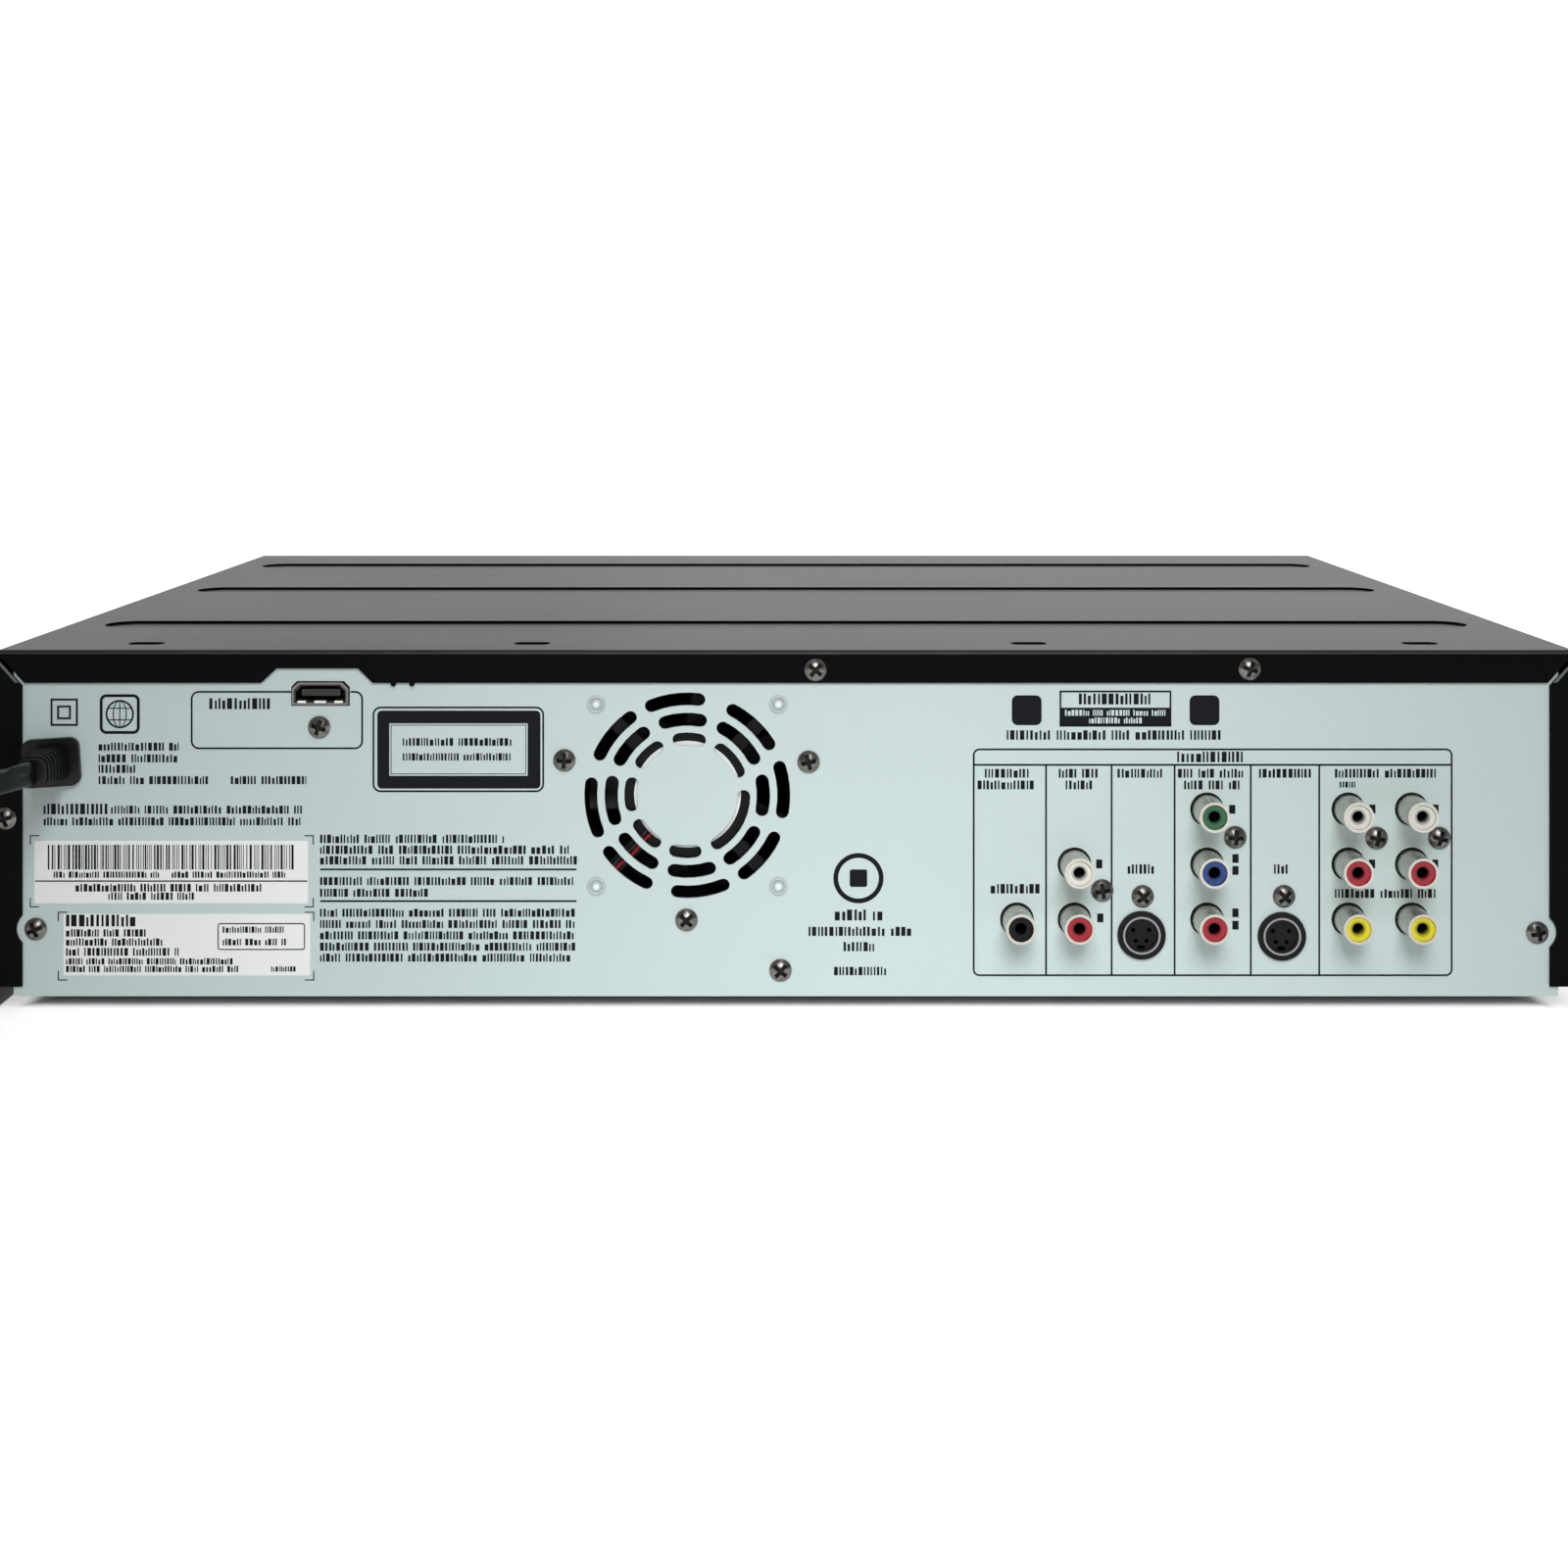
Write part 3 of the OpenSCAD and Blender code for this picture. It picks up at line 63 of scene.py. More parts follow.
# The cover's mitres at the back, in mm: the foot of one in x and z, its slope, its length for 1 mm of x, and
# the width of the painted highlight line along it
MITRE_FOOT = (210.4, 90.7)
MITRE_SLOPE = 1.12
MITRE_LENGTH = math.hypot(1, MITRE_SLOPE)
MITRE_WIDTH = 0.75


# ---------- settings ----------
def colour(name, about, default):
    return FloatVectorProperty(
        name=name, description=about, subtype="COLOR", size=3, default=default, min=0, max=1,
    )


def number(name, about, default, low, high, **extra):
    return FloatProperty(name=name, description=about, default=default, min=low, max=high, **extra)


class PlayerPaint(bpy.types.PropertyGroup):
    """Colours of the painted, plated and moulded surfaces"""

    panel: colour("Rear panel", "Paint of the rear panel", (0.60, 0.71, 0.70))
    cover: colour("Cover", "Paint of the top cover", (0.0016, 0.0022, 0.0026))
    front: colour("Front", "Plastic of the moulded front and door", (0.007, 0.007, 0.008))
    ink: colour("Ink", "Printing ink on the panel and labels", (0.006, 0.007, 0.009))
    label: colour("Label", "Paper of the two labels", (0.96, 0.97, 0.96))
    lead: colour("Lead", "Soft vinyl of the mains lead", (0.004, 0.004, 0.0045))


class PlayerPrint(bpy.types.PropertyGroup):
    """Sizes of the print and labels, in millimetres"""

    line: number("Line", "Width of the thin printed lines, mm", 0.5, 0.1, 1)
    ink_depth: number("Ink depth", "Thickness of the ink, mm", 0.04, 0.01, 0.1)
    label_depth: number("Label depth", "Thickness of a paper label, mm", 0.12, 0.05, 0.3)


class PlayerLead(bpy.types.PropertyGroup):
    """Sizes of the flat mains lead, in millimetres"""

    width: number("Width", "Width of the flat lead, mm", 6.6, 5, 8)
    thickness: number("Thickness", "Thickness of the flat lead, mm", 3.3, 2, 4)
    pitch: number("Pitch", "Distance between turns of the coil, mm", 3.6, 3.4, 5)
    turns: number("Turns", "Turns in the coil", 4.5, 2.5, 6.5)


class PlayerStage(bpy.types.PropertyGroup):
    """Camera and light"""

    distance: number("Distance", "Camera's distance behind the origin", 0.7214, 0.3, 3, unit="LENGTH")
    height: number("Height", "Camera's height over the floor", 0.1764, 0.05, 1, unit="LENGTH")
    lens: number("Lens", "Focal length in mm, on a 36 mm sensor", 47.5, 20, 120)
    rise: number("Rise", "Vertical shift of the lens", -0.264, -0.4, 0.4)
    aside: number("Aside", "Sideways shift of the lens", -0.00125, -0.4, 0.4, precision=5)
    key_power: number("Key light", "Power of the soft lamp over the back, W", 25, 0, 200)
    front_power: number("Front light", "Power of the large lamp over the front, W", 7, 0, 100)
    fill: number("Fill", "Strength of the even light around the object", 0.26, 0, 2)


# ---------- shader arithmetic ----------
def arithmetic(operation, reflected=False):
    """A method of Value that adds a Math node for itself and another value, which is first if reflected"""

    def method(self, other):
        return self.math(operation, *((other, self) if reflected else (self, other)))

    return method


class Value:
    """A socket that takes part in arithmetic: an expression adds its own Math nodes"""

    def __init__(self, finish, socket):
        self.finish = finish
        self.socket = socket

    def math(self, operation, *terms):
        return self.finish.node("ShaderNodeMath", {"operation": operation}, dict(enumerate(terms)))[0]

    __add__ = __radd__ = arithmetic("ADD")
    __sub__ = arithmetic("SUBTRACT")
    __rsub__ = arithmetic("SUBTRACT", reflected=True)
    __mul__ = __rmul__ = arithmetic("MULTIPLY")
    __truediv__ = arithmetic("DIVIDE")
    __pow__ = arithmetic("POWER")
    __gt__ = arithmetic("GREATER_THAN")
    __lt__ = arithmetic("LESS_THAN")
    most = arithmetic("MAXIMUM")

    def fraction(self):
        return self.math("FRACT", self)

    def size(self):
        return self.math("ABSOLUTE", self)

    def step(self, low, high):
        """Rises smoothly from 0 at low to 1 at high"""
        return self.finish.node(
            "ShaderNodeMapRange", {"interpolation_type": "SMOOTHSTEP"},
            {"Value": self, "From Min": low, "From Max": high},
        )["Result"]


def found(sockets, key):
    """The socket of a number, a name or an identifier"""
    if isinstance(key, int):
        return sockets[key]
    for socket in sockets:
        if socket.enabled and key in (socket.name, socket.identifier):
            return socket
    raise KeyError(f"no socket {key}")


class Made:
    """The outputs of a node that has just been made"""

    def __init__(self, finish, node):
        self.finish = finish
        self.node = node

    def __getitem__(self, key):
        return Value(self.finish, found(self.node.outputs, key))


class Finish:
    """A node tree under construction: a material's, or the world's"""

    def __init__(self, owner):
        owner.use_nodes = True
        self.owner = owner
        self.tree = owner.node_tree
        self.tree.nodes.clear()

    def node(self, kind, settings=None, values=None):
        """Makes a node: settings first, then the values or links of its sockets"""
        node = self.tree.nodes.new(kind)
        for name, setting in (settings or {}).items():
            setattr(node, name, setting)
        for key, value in (values or {}).items():
            socket = found(node.inputs, key)
            if isinstance(value, Value):
                self.tree.links.new(value.socket, socket)
            elif socket.type == "RGBA" and len(value) == 3:
                socket.default_value = (*value, 1)
            else:
                socket.default_value = value
        return Made(self, node)

    def place(self):
        return self.node("ShaderNodeTexCoord")["Object"]

    def facing(self):
        return self.split(self.node("ShaderNodeTexCoord")["Normal"])

    def split(self, vector):
        made = self.node("ShaderNodeSeparateXYZ", None, {"Vector": vector})
        return made["X"], made["Y"], made["Z"]

    def vector(self, operation, values):
        return self.node("ShaderNodeVectorMath", {"operation": operation}, values)["Vector"]

    def stretched(self, vector, scale):
        return self.vector("MULTIPLY", {0: vector, 1: scale})

    def tinted(self, colour, value):
        """A colour made lighter or darker by a value"""
        return self.vector("SCALE", {0: colour, "Scale": value})

    def mixed(self, factor, a, b):
        """Colour a where the factor is 0, colour b where it is 1"""
        return self.node(
            "ShaderNodeMix", {"data_type": "RGBA"},
            {"Factor_Float": factor, "A_Color": a, "B_Color": b},
        )["Result_Color"]

    def noise(self, place, scale, detail, roughness=0.5):
        return self.node(
            "ShaderNodeTexNoise", None,
            {"Vector": place, "Scale": scale, "Detail": detail, "Roughness": roughness},
        )["Fac"]

    def cells(self, place, scale, output="Color"):
        return self.node("ShaderNodeTexVoronoi", None, {"Vector": place, "Scale": scale})[output]

    def bump(self, height, distance, strength):
        values = {"Height": height, "Distance": distance, "Strength": strength}
        return self.node("ShaderNodeBump", None, values)["Normal"]

    def surface(self, **values):
        """The closing shader. Names are the sockets' own, with spaces as underscores"""
        named = {name.replace("_", " "): value for name, value in values.items()}
        shader = self.node("ShaderNodeBsdfPrincipled", None, named)["BSDF"]
        self.node("ShaderNodeOutputMaterial", None, {"Surface": shader})
        return self.owner


def finish(name):
    """A new material's nodes, and the place on the piece that its patterns follow"""
    made = Finish(bpy.data.materials.new(name))
    return made, made.place()


def reach(x, z, middle):
    """How far x and z, in metres, are from a line along y, in mm"""
    return ((x / MM - middle[0]) ** 2 + (z / MM - middle[1]) ** 2) ** 0.5


# ---------- finishes ----------
# A screw's rim and the foot of its crown, in mm over the panel, which bound its painted shade, and the reach
# of a round socket's shell
SCREW_RIM = 0.45
SCREW_CROWN = 1.25
SHELL_RADIUS = 7.0
# Circuit tracks to a metre, and turns of a winding
TRACKS = 420


def panel_paint(colour):
    """Semi-gloss baked paint on steel: fine orange peel, faint clouds and handling marks"""
    f, at = finish("panel_paint")
    cloud = f.noise(at, 11, 3)
    speck = f.noise(at, 2300, 1)
    marks = f.noise(f.stretched(at, (1, 1, 2.5)), 55, 4, 0.65)
    tone = 0.965 + cloud * 0.05 + speck * 0.03
    peel = f.noise(at, 620, 2)
    return f.surface(
        Base_Color=f.tinted(colour, tone), Roughness=0.36 + marks * 0.16, Specular_IOR_Level=0.42,
        Normal=f.bump(peel, 0.00006, 0.7),
    )


def cover_paint(colour):
    """Satin textured paint: a fine wrinkle, glossier crests, a painted highlight along the rear bend and a
    painted highlight line along each rear mitre
    """
    f, at = finish("cover_paint")
    _, y, z = f.facing()
    grain = f.noise(at, 2600, 3, 0.6)
    patches = f.noise(at, 7, 3)
    wipe = f.noise(f.stretched(at, (0.35, 3, 1)), 40, 3)
    rough = 0.28 + patches * 0.05 + wipe * 0.04 - grain * 0.05
    # Painted highlight: a paler, mottled band on the part of the rear bend that faces back and up
    bend = y.step(0.5, 0.7) * z.step(0.2, 0.4)
    bend_highlight = bend * (0.45 + f.noise(at, 60, 3) * 0.6)
    across, back, up = f.split(at)
    # Painted highlight: a pale line along each rear mitre, on faces that look back
    past = ((across.size() / MM - MITRE_FOOT[0]) * MITRE_SLOPE - (up / MM - MITRE_FOOT[1])) / MITRE_LENGTH
    behind = (back > PANEL_FACE * MM) * (y > 0.5)
    edge = (past > 0) * (past < MITRE_WIDTH) * (up > MITRE_FOOT[1] * MM) * behind
    painted = f.mixed(bend_highlight, f.tinted(colour, 0.6 + grain * 0.4), (0.060, 0.066, 0.066))
    return f.surface(
        Base_Color=f.mixed(edge * 0.8, painted, (0.20, 0.215, 0.215)),
        Roughness=rough, Specular_IOR_Level=0.045,
        Normal=f.bump(grain, 0.00005, 0.55),
    )


def plated_steel(name="plated_steel", colour=(0.60, 0.61, 0.60)):
    """Zinc-plated sheet: faint spangle, rolling lines along x"""
    f, at = finish(name)
    red, green, _ = f.split(f.cells(at, 240))
    rolled = f.noise(f.stretched(at, (6, 900, 900)), 1, 3)
    tone = 0.9 + red * 0.08 + rolled * 0.1
    return f.surface(
        Base_Color=f.tinted(colour, tone), Metallic=1.0, Roughness=0.30 + green * 0.08 + rolled * 0.1,
        Normal=f.bump(rolled, 0.00003, 0.5),
    )


def moulded(name, colour, grain_scale, depth, rough, gloss=0.5):
    """Moulded plastic with a spark-eroded grain and a little handling shine"""
    f, at = finish(name)
    grain = f.noise(at, grain_scale, 2, 0.6)
    handled = f.noise(at, 24, 3)
    return f.surface(
        Base_Color=f.tinted(colour, 0.93 + grain * 0.14), Roughness=rough + handled * 0.1 - grain * 0.04,
        Specular_IOR_Level=gloss, Normal=f.bump(grain, depth, 0.6),
    )


def glossy_moulding(name, colour, rough=0.16, holes=()):
    """Polished coloured plastic with soft sink marks, and painted shade in its holes and on their tapered
    mouths
    """
    f, at = finish(name)
    cloud = f.noise(at, 260, 2)
    sink = f.noise(at, 90, 1)
    tone = 0.92 + cloud * 0.16
    x, y, z = f.split(at)
    # A hole is a middle in x and z and the y of its face. Painted shade darkens its bore and mouth, and
    # deepens on its way in
    for cx, cz, face in holes:
        off = reach(x, z, (cx, cz))
        depth = abs(face) - y / MM * math.copysign(1, face)
        near = (off < 4.5) * (depth < 20)
        mouth_shade = near * (1 - off.step(1.95, 2.35))
        tone = tone * (1 - mouth_shade * 0.5) * (1 - near * depth.step(0.4, 2.6) * 0.94)
    return f.surface(
        Base_Color=f.tinted(colour, tone), Roughness=rough + cloud * 0.06, Specular_IOR_Level=0.35,
        Normal=f.bump(sink, 0.0001, 0.2),
    )


def nickel(name, colour, rough, wear=0.12):
    """Barrel-plated nickel: lathe lines round the part and dull patches"""
    f, at = finish(name)
    lathe = f.noise(f.stretched(at, (120, 5200, 120)), 1, 2)
    dull = f.noise(at, 420, 3)
    return f.surface(
        Base_Color=f.tinted(colour, 0.86 + dull * 0.22), Metallic=1.0,
        Roughness=rough + dull * wear + lathe * 0.08, Normal=f.bump(lathe, 0.00003, 0.5),
    )


def barrel_plating(colour, dull, dark_at):
    """Bright nickel on the sockets' barrels, and dull tin on the two round shells"""
    f, at = finish("barrel_nickel")
    x, _, z = f.split(at)
    lathe = f.noise(f.stretched(at, (120, 5200, 120)), 1, 2)
    worn = f.noise(at, 420, 3)
    shells = None
    for middle in dark_at:
        near = reach(x, z, middle) < SHELL_RADIUS
        shells = near if shells is None else shells.most(near)
    return f.surface(
        Base_Color=f.tinted(f.mixed(shells, colour, dull), 0.86 + worn * 0.22), Metallic=1.0,
        Roughness=0.16 + worn * 0.16 + lathe * 0.08 + shells * 0.2, Normal=f.bump(lathe, 0.00003, 0.5),
    )


def screw_plating():
    """Dark nickel on pan-head screws, stained, with painted shade in the cross and on the upright walls of
    the head
    """
    f, at = finish("screw_plating")
    stain = f.noise(at, 900, 3)
    out = f.split(at)[1] / MM - PANEL_FACE
    level = f.facing()[1].size()
    # Painted shade: near black on the cross's flat floor and on upright walls above the rim
    floor = (level > 0.95) * (out < SCREW_CROWN)
    walls = (level < 0.2) * (out > SCREW_RIM)
    recess_shade = floor.most(walls)
    return f.surface(
        Base_Color=f.mixed(recess_shade, f.tinted((0.24, 0.225, 0.21), 0.2 + stain * 1.05), (0.006, 0.005, 0.005)),
        Metallic=1 - recess_shade * 0.9, Roughness=0.24 + stain * 0.16 + recess_shade * 0.4,
        Normal=f.bump(f.noise(at, 2600, 2), 0.00004, 0.5),
    )


def rubber(name="black_rubber"):
    """Matt rubber with a dusty bloom"""
    f, at = finish(name)
    bloom = f.noise(at, 70, 4, 0.6)
    fine = f.noise(at, 1800, 2)
    return f.surface(
        Base_Color=f.tinted((0.018, 0.018, 0.018), 0.8 + bloom * 0.9), Roughness=0.72 + fine * 0.15,
        Specular_IOR_Level=0.3, Normal=f.bump(fine, 0.00008, 0.6),
    )


def smoked_window():
    """Smoked acrylic: deep gloss, a faint violet body and fine wipe marks"""
    f, at = finish("smoked_window")
    wipe = f.noise(f.stretched(at, (1, 1, 9)), 60, 4, 0.7)
    depth = f.noise(at, 18, 2)
    return f.surface(
        Base_Color=f.tinted((0.006, 0.004, 0.008), 0.7 + depth * 0.6), Roughness=0.05 + wipe * 0.09,
        Specular_IOR_Level=0.3, Coat_Weight=0.12, Coat_Roughness=0.03,
    )


def circuit_board(name, mask, copper):
    """Solder mask over fine copper tracks, with pads on a grid"""
    f, at = finish(name)
    x, y, _ = f.split(at)

    def lanes(across):
        part = (across * TRACKS).fraction()
        return part.step(0.30, 0.36) * (1 - part.step(0.64, 0.70))

    red, green, _ = f.split(f.cells(at, 95))
    tracks = lanes(x) * (red > 0.5) + lanes(y) * (red < 0.5)
    pads = 1 - f.cells(at, 340, "Distance").step(0.16, 0.24)
    body = f.mixed(tracks * 0.75, mask, copper)
    solder = f.mixed(pads * (green > 0.35), body, (0.62, 0.62, 0.60))
    return f.surface(
        Base_Color=solder, Roughness=0.34 - pads * 0.08, Normal=f.bump(tracks + pads, 0.00006, 0.6),
    )


def wound_core():
    """Ferrite core with a yellow taped winding between its legs"""
    f, at = finish("wound_core")
    _, y, z = f.split(at)
    grain = f.noise(at, 900, 3)
    wraps = (z * TRACKS).fraction().step(0.82, 0.98)
    tape = (y > 0.104) * (y < 0.120)
    ferrite = f.tinted((0.05, 0.048, 0.046), 0.8 + grain * 0.5)
    yellow = f.tinted((0.80, 0.58, 0.05), 0.85 + grain * 0.2 - wraps * 0.25)
    return f.surface(
        Base_Color=f.mixed(tape, ferrite, yellow), Roughness=0.62 - tape * 0.3 + grain * 0.1,
        Normal=f.bump(grain + wraps, 0.00008, 0.5),
    )


def capacitor_sleeve():
    """Shrink sleeve with a pale stripe, and a bright stamped top"""
    f, at = finish("capacitor_sleeve")
    x, _, z = f.facing()
    top = z.step(0.8, 0.95)
    stripe = x.step(0.78, 0.82)
    grain = f.noise(at, 500, 2)
    sleeve = f.mixed(stripe, f.tinted((0.015, 0.016, 0.05), 0.9 + grain * 0.3), (0.55, 0.56, 0.60))
    return f.surface(
        Base_Color=f.mixed(top, sleeve, (0.72, 0.72, 0.73)), Metallic=top,
        Roughness=0.26 + grain * 0.12, Normal=f.bump(grain, 0.00004, 0.4),
    )


def turned_aluminium():
    """Aluminium with fine turning rings up its height, and a fine brushed grain on its flats"""
    f, at = finish("turned_aluminium")
    flat = f.facing()[2].size() > 0.8
    lathe = f.noise(f.stretched(at, (90, 90, 7000)), 1, 2)
    brushed = f.noise(f.stretched(at, (1900, 160, 1)), 1, 2)
    rings = lathe * (1 - flat) + brushed * flat
    cloud = f.noise(at, 70, 3)
    return f.surface(
        Base_Color=f.tinted((0.74, 0.75, 0.76), 0.92 + cloud * 0.1), Metallic=1.0,
        Roughness=0.2 + rings * 0.14 + cloud * 0.05, Normal=f.bump(rings, 0.00004, 0.6),
    )


def vinyl(name, colour, rough=0.18):
    """Soft vinyl of a lead: smooth and slightly waxy, with drag marks"""
    f, at = finish(name)
    wax = f.noise(at, 65, 3)
    fine = f.noise(at, 1500, 2)
    return f.surface(
        Base_Color=f.tinted(colour, 0.85 + wax * 0.4), Roughness=rough + wax * 0.1 + fine * 0.04,
        Specular_IOR_Level=0.28, Normal=f.bump(fine, 0.00005, 0.5),
    )


def ink(name, colour):
    """Screen print: a matt film with faint pinholes"""
    f, at = finish(name)
    film = f.noise(at, 1900, 3)
    return f.surface(
        Base_Color=f.tinted(colour, 0.85 + film * 0.4), Roughness=0.6 + film * 0.12,
        Specular_IOR_Level=0.12,
    )


def label_paper(colour):
    """Coated label stock with paper fibre under the film"""
    f, at = finish("label_paper")
    fibre = f.noise(f.stretched(at, (1, 1, 3)), 700, 4, 0.65)
    cloud = f.noise(at, 30, 2)
    return f.surface(
        Base_Color=f.tinted(colour, 0.96 + fibre * 0.05 + cloud * 0.02), Roughness=0.46 + fibre * 0.12,
        Normal=f.bump(fibre, 0.00003, 0.4),
    )


BLADE_LENGTH = 17.0


def plug_vinyl(colour):
    """The plug's vinyl, with bright blades beyond its face"""
    f, at = finish("plug_vinyl")
    blade = f.split(at)[1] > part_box("power_plug")[1][1] - BLADE_LENGTH * MM
    wax = f.noise(at, 80, 3)
    fine = f.noise(at, 1500, 2)
    body = f.tinted(colour, 0.85 + wax * 0.4)
    return f.surface(
        Base_Color=f.mixed(blade, body, (0.72, 0.69, 0.60)), Metallic=blade,
        Roughness=0.42 + wax * 0.1 - blade * 0.2, Normal=f.bump(fine, 0.00006, 0.5),
    )


def dress(nodes, material):
    """Gives carried-over nodes their finish. The nodes are a name, or several names in one string"""
    for node in nodes.split():
        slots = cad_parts[node].material_slots
        if not slots:
            raise RuntimeError(f"{node} has no material slot")
        for held in slots:
            held.material = material


def middle_of(node):
    """The middle of a node in x and z, in mm"""
    low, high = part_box(node)
    return (low[0] + high[0]) / 2 / MM, (low[2] + high[2]) / 2 / MM


# ---------- meshes ----------
def added(name, mesh, material):
    """Adds a mesh to the scene and returns its object"""
    data = bpy.data.meshes.new(name)
    mesh.to_mesh(data)
    mesh.free()
    data.materials.append(material)
    made = bpy.data.objects.new(name, data)
    bpy.context.scene.collection.objects.link(made)
    return made


def piece(name, mesh, material, body=CASE, smooth=False):
    """Adds a mesh as a piece that rides on a body"""
    bmesh.ops.recalc_face_normals(mesh, faces=mesh.faces)
    made = added(name, mesh, material)
    for face in made.data.polygons:
        face.use_smooth = smooth
    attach(made, body)
    return made


def upright(mesh, outline, y):
    """A row of points from an outline in x and z, at one y, all in mm"""
    return [mesh.verts.new((x * MM, y * MM, z * MM)) for x, z in outline]


def join(mesh, low, high, closed=True):
    """Faces between two rows of points, round to the first point again if closed"""
    count = len(low)
    for i in range(count if closed else count - 1):
        j = (i + 1) % count
        mesh.faces.new((low[i], low[j], high[j], high[i]))


def cap(mesh, first, last):
    mesh.faces.new(list(reversed(first)))
    mesh.faces.new(last)


def prism(mesh, outline, y0, y1):
    """A flat outline in x and z, in mm, made solid between two y planes"""
    near = upright(mesh, outline, y0)
    far = upright(mesh, outline, y1)
    join(mesh, far, near)
    cap(mesh, far, near)


def band(mesh, outer, inner, y0, y1, closed=True):
    """A flat strip between two outlines with as many points each"""
    rows = [upright(mesh, loop, y) for loop, y in ((outer, y0), (inner, y0), (inner, y1), (outer, y1))]
    for low, high in zip(rows, rows[1:] + rows[:1]):
        join(mesh, low, high, closed)
    if not closed:
        cap(mesh, [row[-1] for row in rows], [row[0] for row in rows])


def box_outline(x0, z0, x1, z1):
    return [(x0, z0), (x1, z0), (x1, z1), (x0, z1)]


def round_outline(x0, z0, x1, z1, r, steps=5):
    """A rectangle with round corners, from its lower right corner round"""
    corners = [(x1 - r, z0 + r, -90), (x1 - r, z1 - r, 0), (x0 + r, z1 - r, 90), (x0 + r, z0 + r, 180)]
    points = []
    for cx, cz, start in corners:
        for i in range(steps + 1):
            angle = math.radians(start + 90 * i / steps)
            points.append((cx + r * math.cos(angle), cz + r * math.sin(angle)))
    return points


def circle_outline(x, z, r, steps=40):
    return [
        (x + r * math.cos(2 * math.pi * i / steps), z + r * math.sin(2 * math.pi * i / steps))
        for i in range(steps)
    ]


def turned(mesh, x, z, profile, steps=24):
    """A profile of (radius, y) in mm turned about a line along y, closed by the profile's own ends"""
    rows = [upright(mesh, circle_outline(x, z, r, steps), y) for r, y in profile]
    for low, high in zip(rows, rows[1:]):
        join(mesh, low, high)
    cap(mesh, rows[0], rows[-1])


class Layer:
    """Flat shapes between two y planes, in mm, such as the ink on a label or its paper"""

    def __init__(self, y0, y1):
        self.mesh = bmesh.new()
        self.y0 = y0
        self.y1 = y1

    def fill(self, outline):
        prism(self.mesh, outline, self.y0, self.y1)

    def box(self, x0, z0, x1, z1):
        self.fill(box_outline(x0, z0, x1, z1))

    def ring(self, outer, inner, closed=True):
        band(self.mesh, outer, inner, self.y0, self.y1, closed)

    def circle(self, x, z, outer, inner, steps=40):
        self.ring(circle_outline(x, z, outer, steps), circle_outline(x, z, inner, steps))

    def frame(self, x0, z0, x1, z1, r, line):
        """A line round a rectangle with round corners; the line lies inside it"""
        inner = round_outline(x0 + line, z0 + line, x1 - line, z1 - line, max(r - line, 0.05))
        self.ring(round_outline(x0, z0, x1, z1, r), inner)

    def words(self, rows, seed):
        """Rows of strokes, each with a seed of its own"""
        for i, row in enumerate(rows):
            for stroke in words(*row, seed + i):
                self.box(*stroke)

    def lay(self, name, material, body=CASE):
        piece(name, self.mesh, material, body)


def smooth_path(points, steps):
    """A curve through the points, with some steps between each pair"""
    places = [Vector(p) for p in points]
    ends = [2 * places[0] - places[1], *places, 2 * places[-1] - places[-2]]
    path = []
    for i in range(1, len(ends) - 2):
        a, b, c, d = ends[i - 1:i + 3]
        for k in range(steps):
            t = k / steps
            path.append(0.5 * (
                2 * b + (c - a) * t + (2 * a - 5 * b + 4 * c - d) * t * t + (3 * b - 3 * c + d - a) * t ** 3
            ))
    path.append(places[-1])
    return path


def sweep(mesh, path, section):
    """Draws a closed section along a path in mm. A section's first number is sideways, its second up"""
    rings = []
    count = len(path)
    for i, place in enumerate(path):
        ahead = (path[min(i + 1, count - 1)] - path[max(i - 1, 0)]).normalized()
        side = ahead.cross(Vector((0, 0, 1))).normalized()
        up = side.cross(ahead)
        rings.append([mesh.verts.new((place + side * a + up * b) * MM) for a, b in section])
    for low, high in zip(rings, rings[1:]):
        join(mesh, low, high)
    cap(mesh, rings[0], rings[-1])


# ---------- mains lead ----------
# Places in mm: where the lead leaves its sleeve, its way down to the coil, and its way on to the plug
SLEEVE_TIP = (201.4, 170.0, 68.8)
ROUTE = [
    SLEEVE_TIP, (201.9, 176, 69.2), (204, 184, 69.4), (209, 192, 68.8), (217, 198, 66.4),
    (227, 201, 61.8), (238, 201, 54.8), (249, 198.5, 46.2), (259.5, 194, 37.4), (269.5, 188, 28.8),
    (278.5, 180.5, 21), (286.5, 171.5, 14.4), (293, 161, 9.2), (298, 149.5, 5.4), (301.5, 138, 4.1),
    (304, 126.5, 5.4), (305.5, 115.5, 8.4), (306, 105, 10.8), (306, 94, 11.2), (306, 82, 11), (306, 70, 10),
]
# The coil: its middle in x and y, the radius where it starts, and the height of the lead's middle
COIL_AT = (275.0, 70.0)
COIL_START = 31.0
COIL_Z = 3.8
COIL_STEPS = 40
TAIL = [(227.8, 70, COIL_Z), (227.8, 82, 4.4), (228.2, 93, 6.5), (229, 104, 8.2)]
# How far round the first turn the lead has come down
SETTLE = math.radians(85)
# The tie sits a quarter turn in from both ends of the coil
TIE_TURN = 0.25


def coil_path(pitch, turns):
    """Turns on the floor, wound outward; the first part of the first turn comes down to them"""
    steps = int(turns * COIL_STEPS)
    path = []
    for i in range(1, steps):
        angle = 2 * math.pi * turns * i / steps
        radius = COIL_START + pitch * angle / (2 * math.pi)
        down = min(angle / SETTLE, 1.0)
        ease = down * down * (3 - 2 * down)
        height = ROUTE[-1][2] + (COIL_Z - ROUTE[-1][2]) * ease
        path.append(Vector((
            COIL_AT[0] + radius * math.cos(angle), COIL_AT[1] - radius * math.sin(angle), height,
        )))
    return path


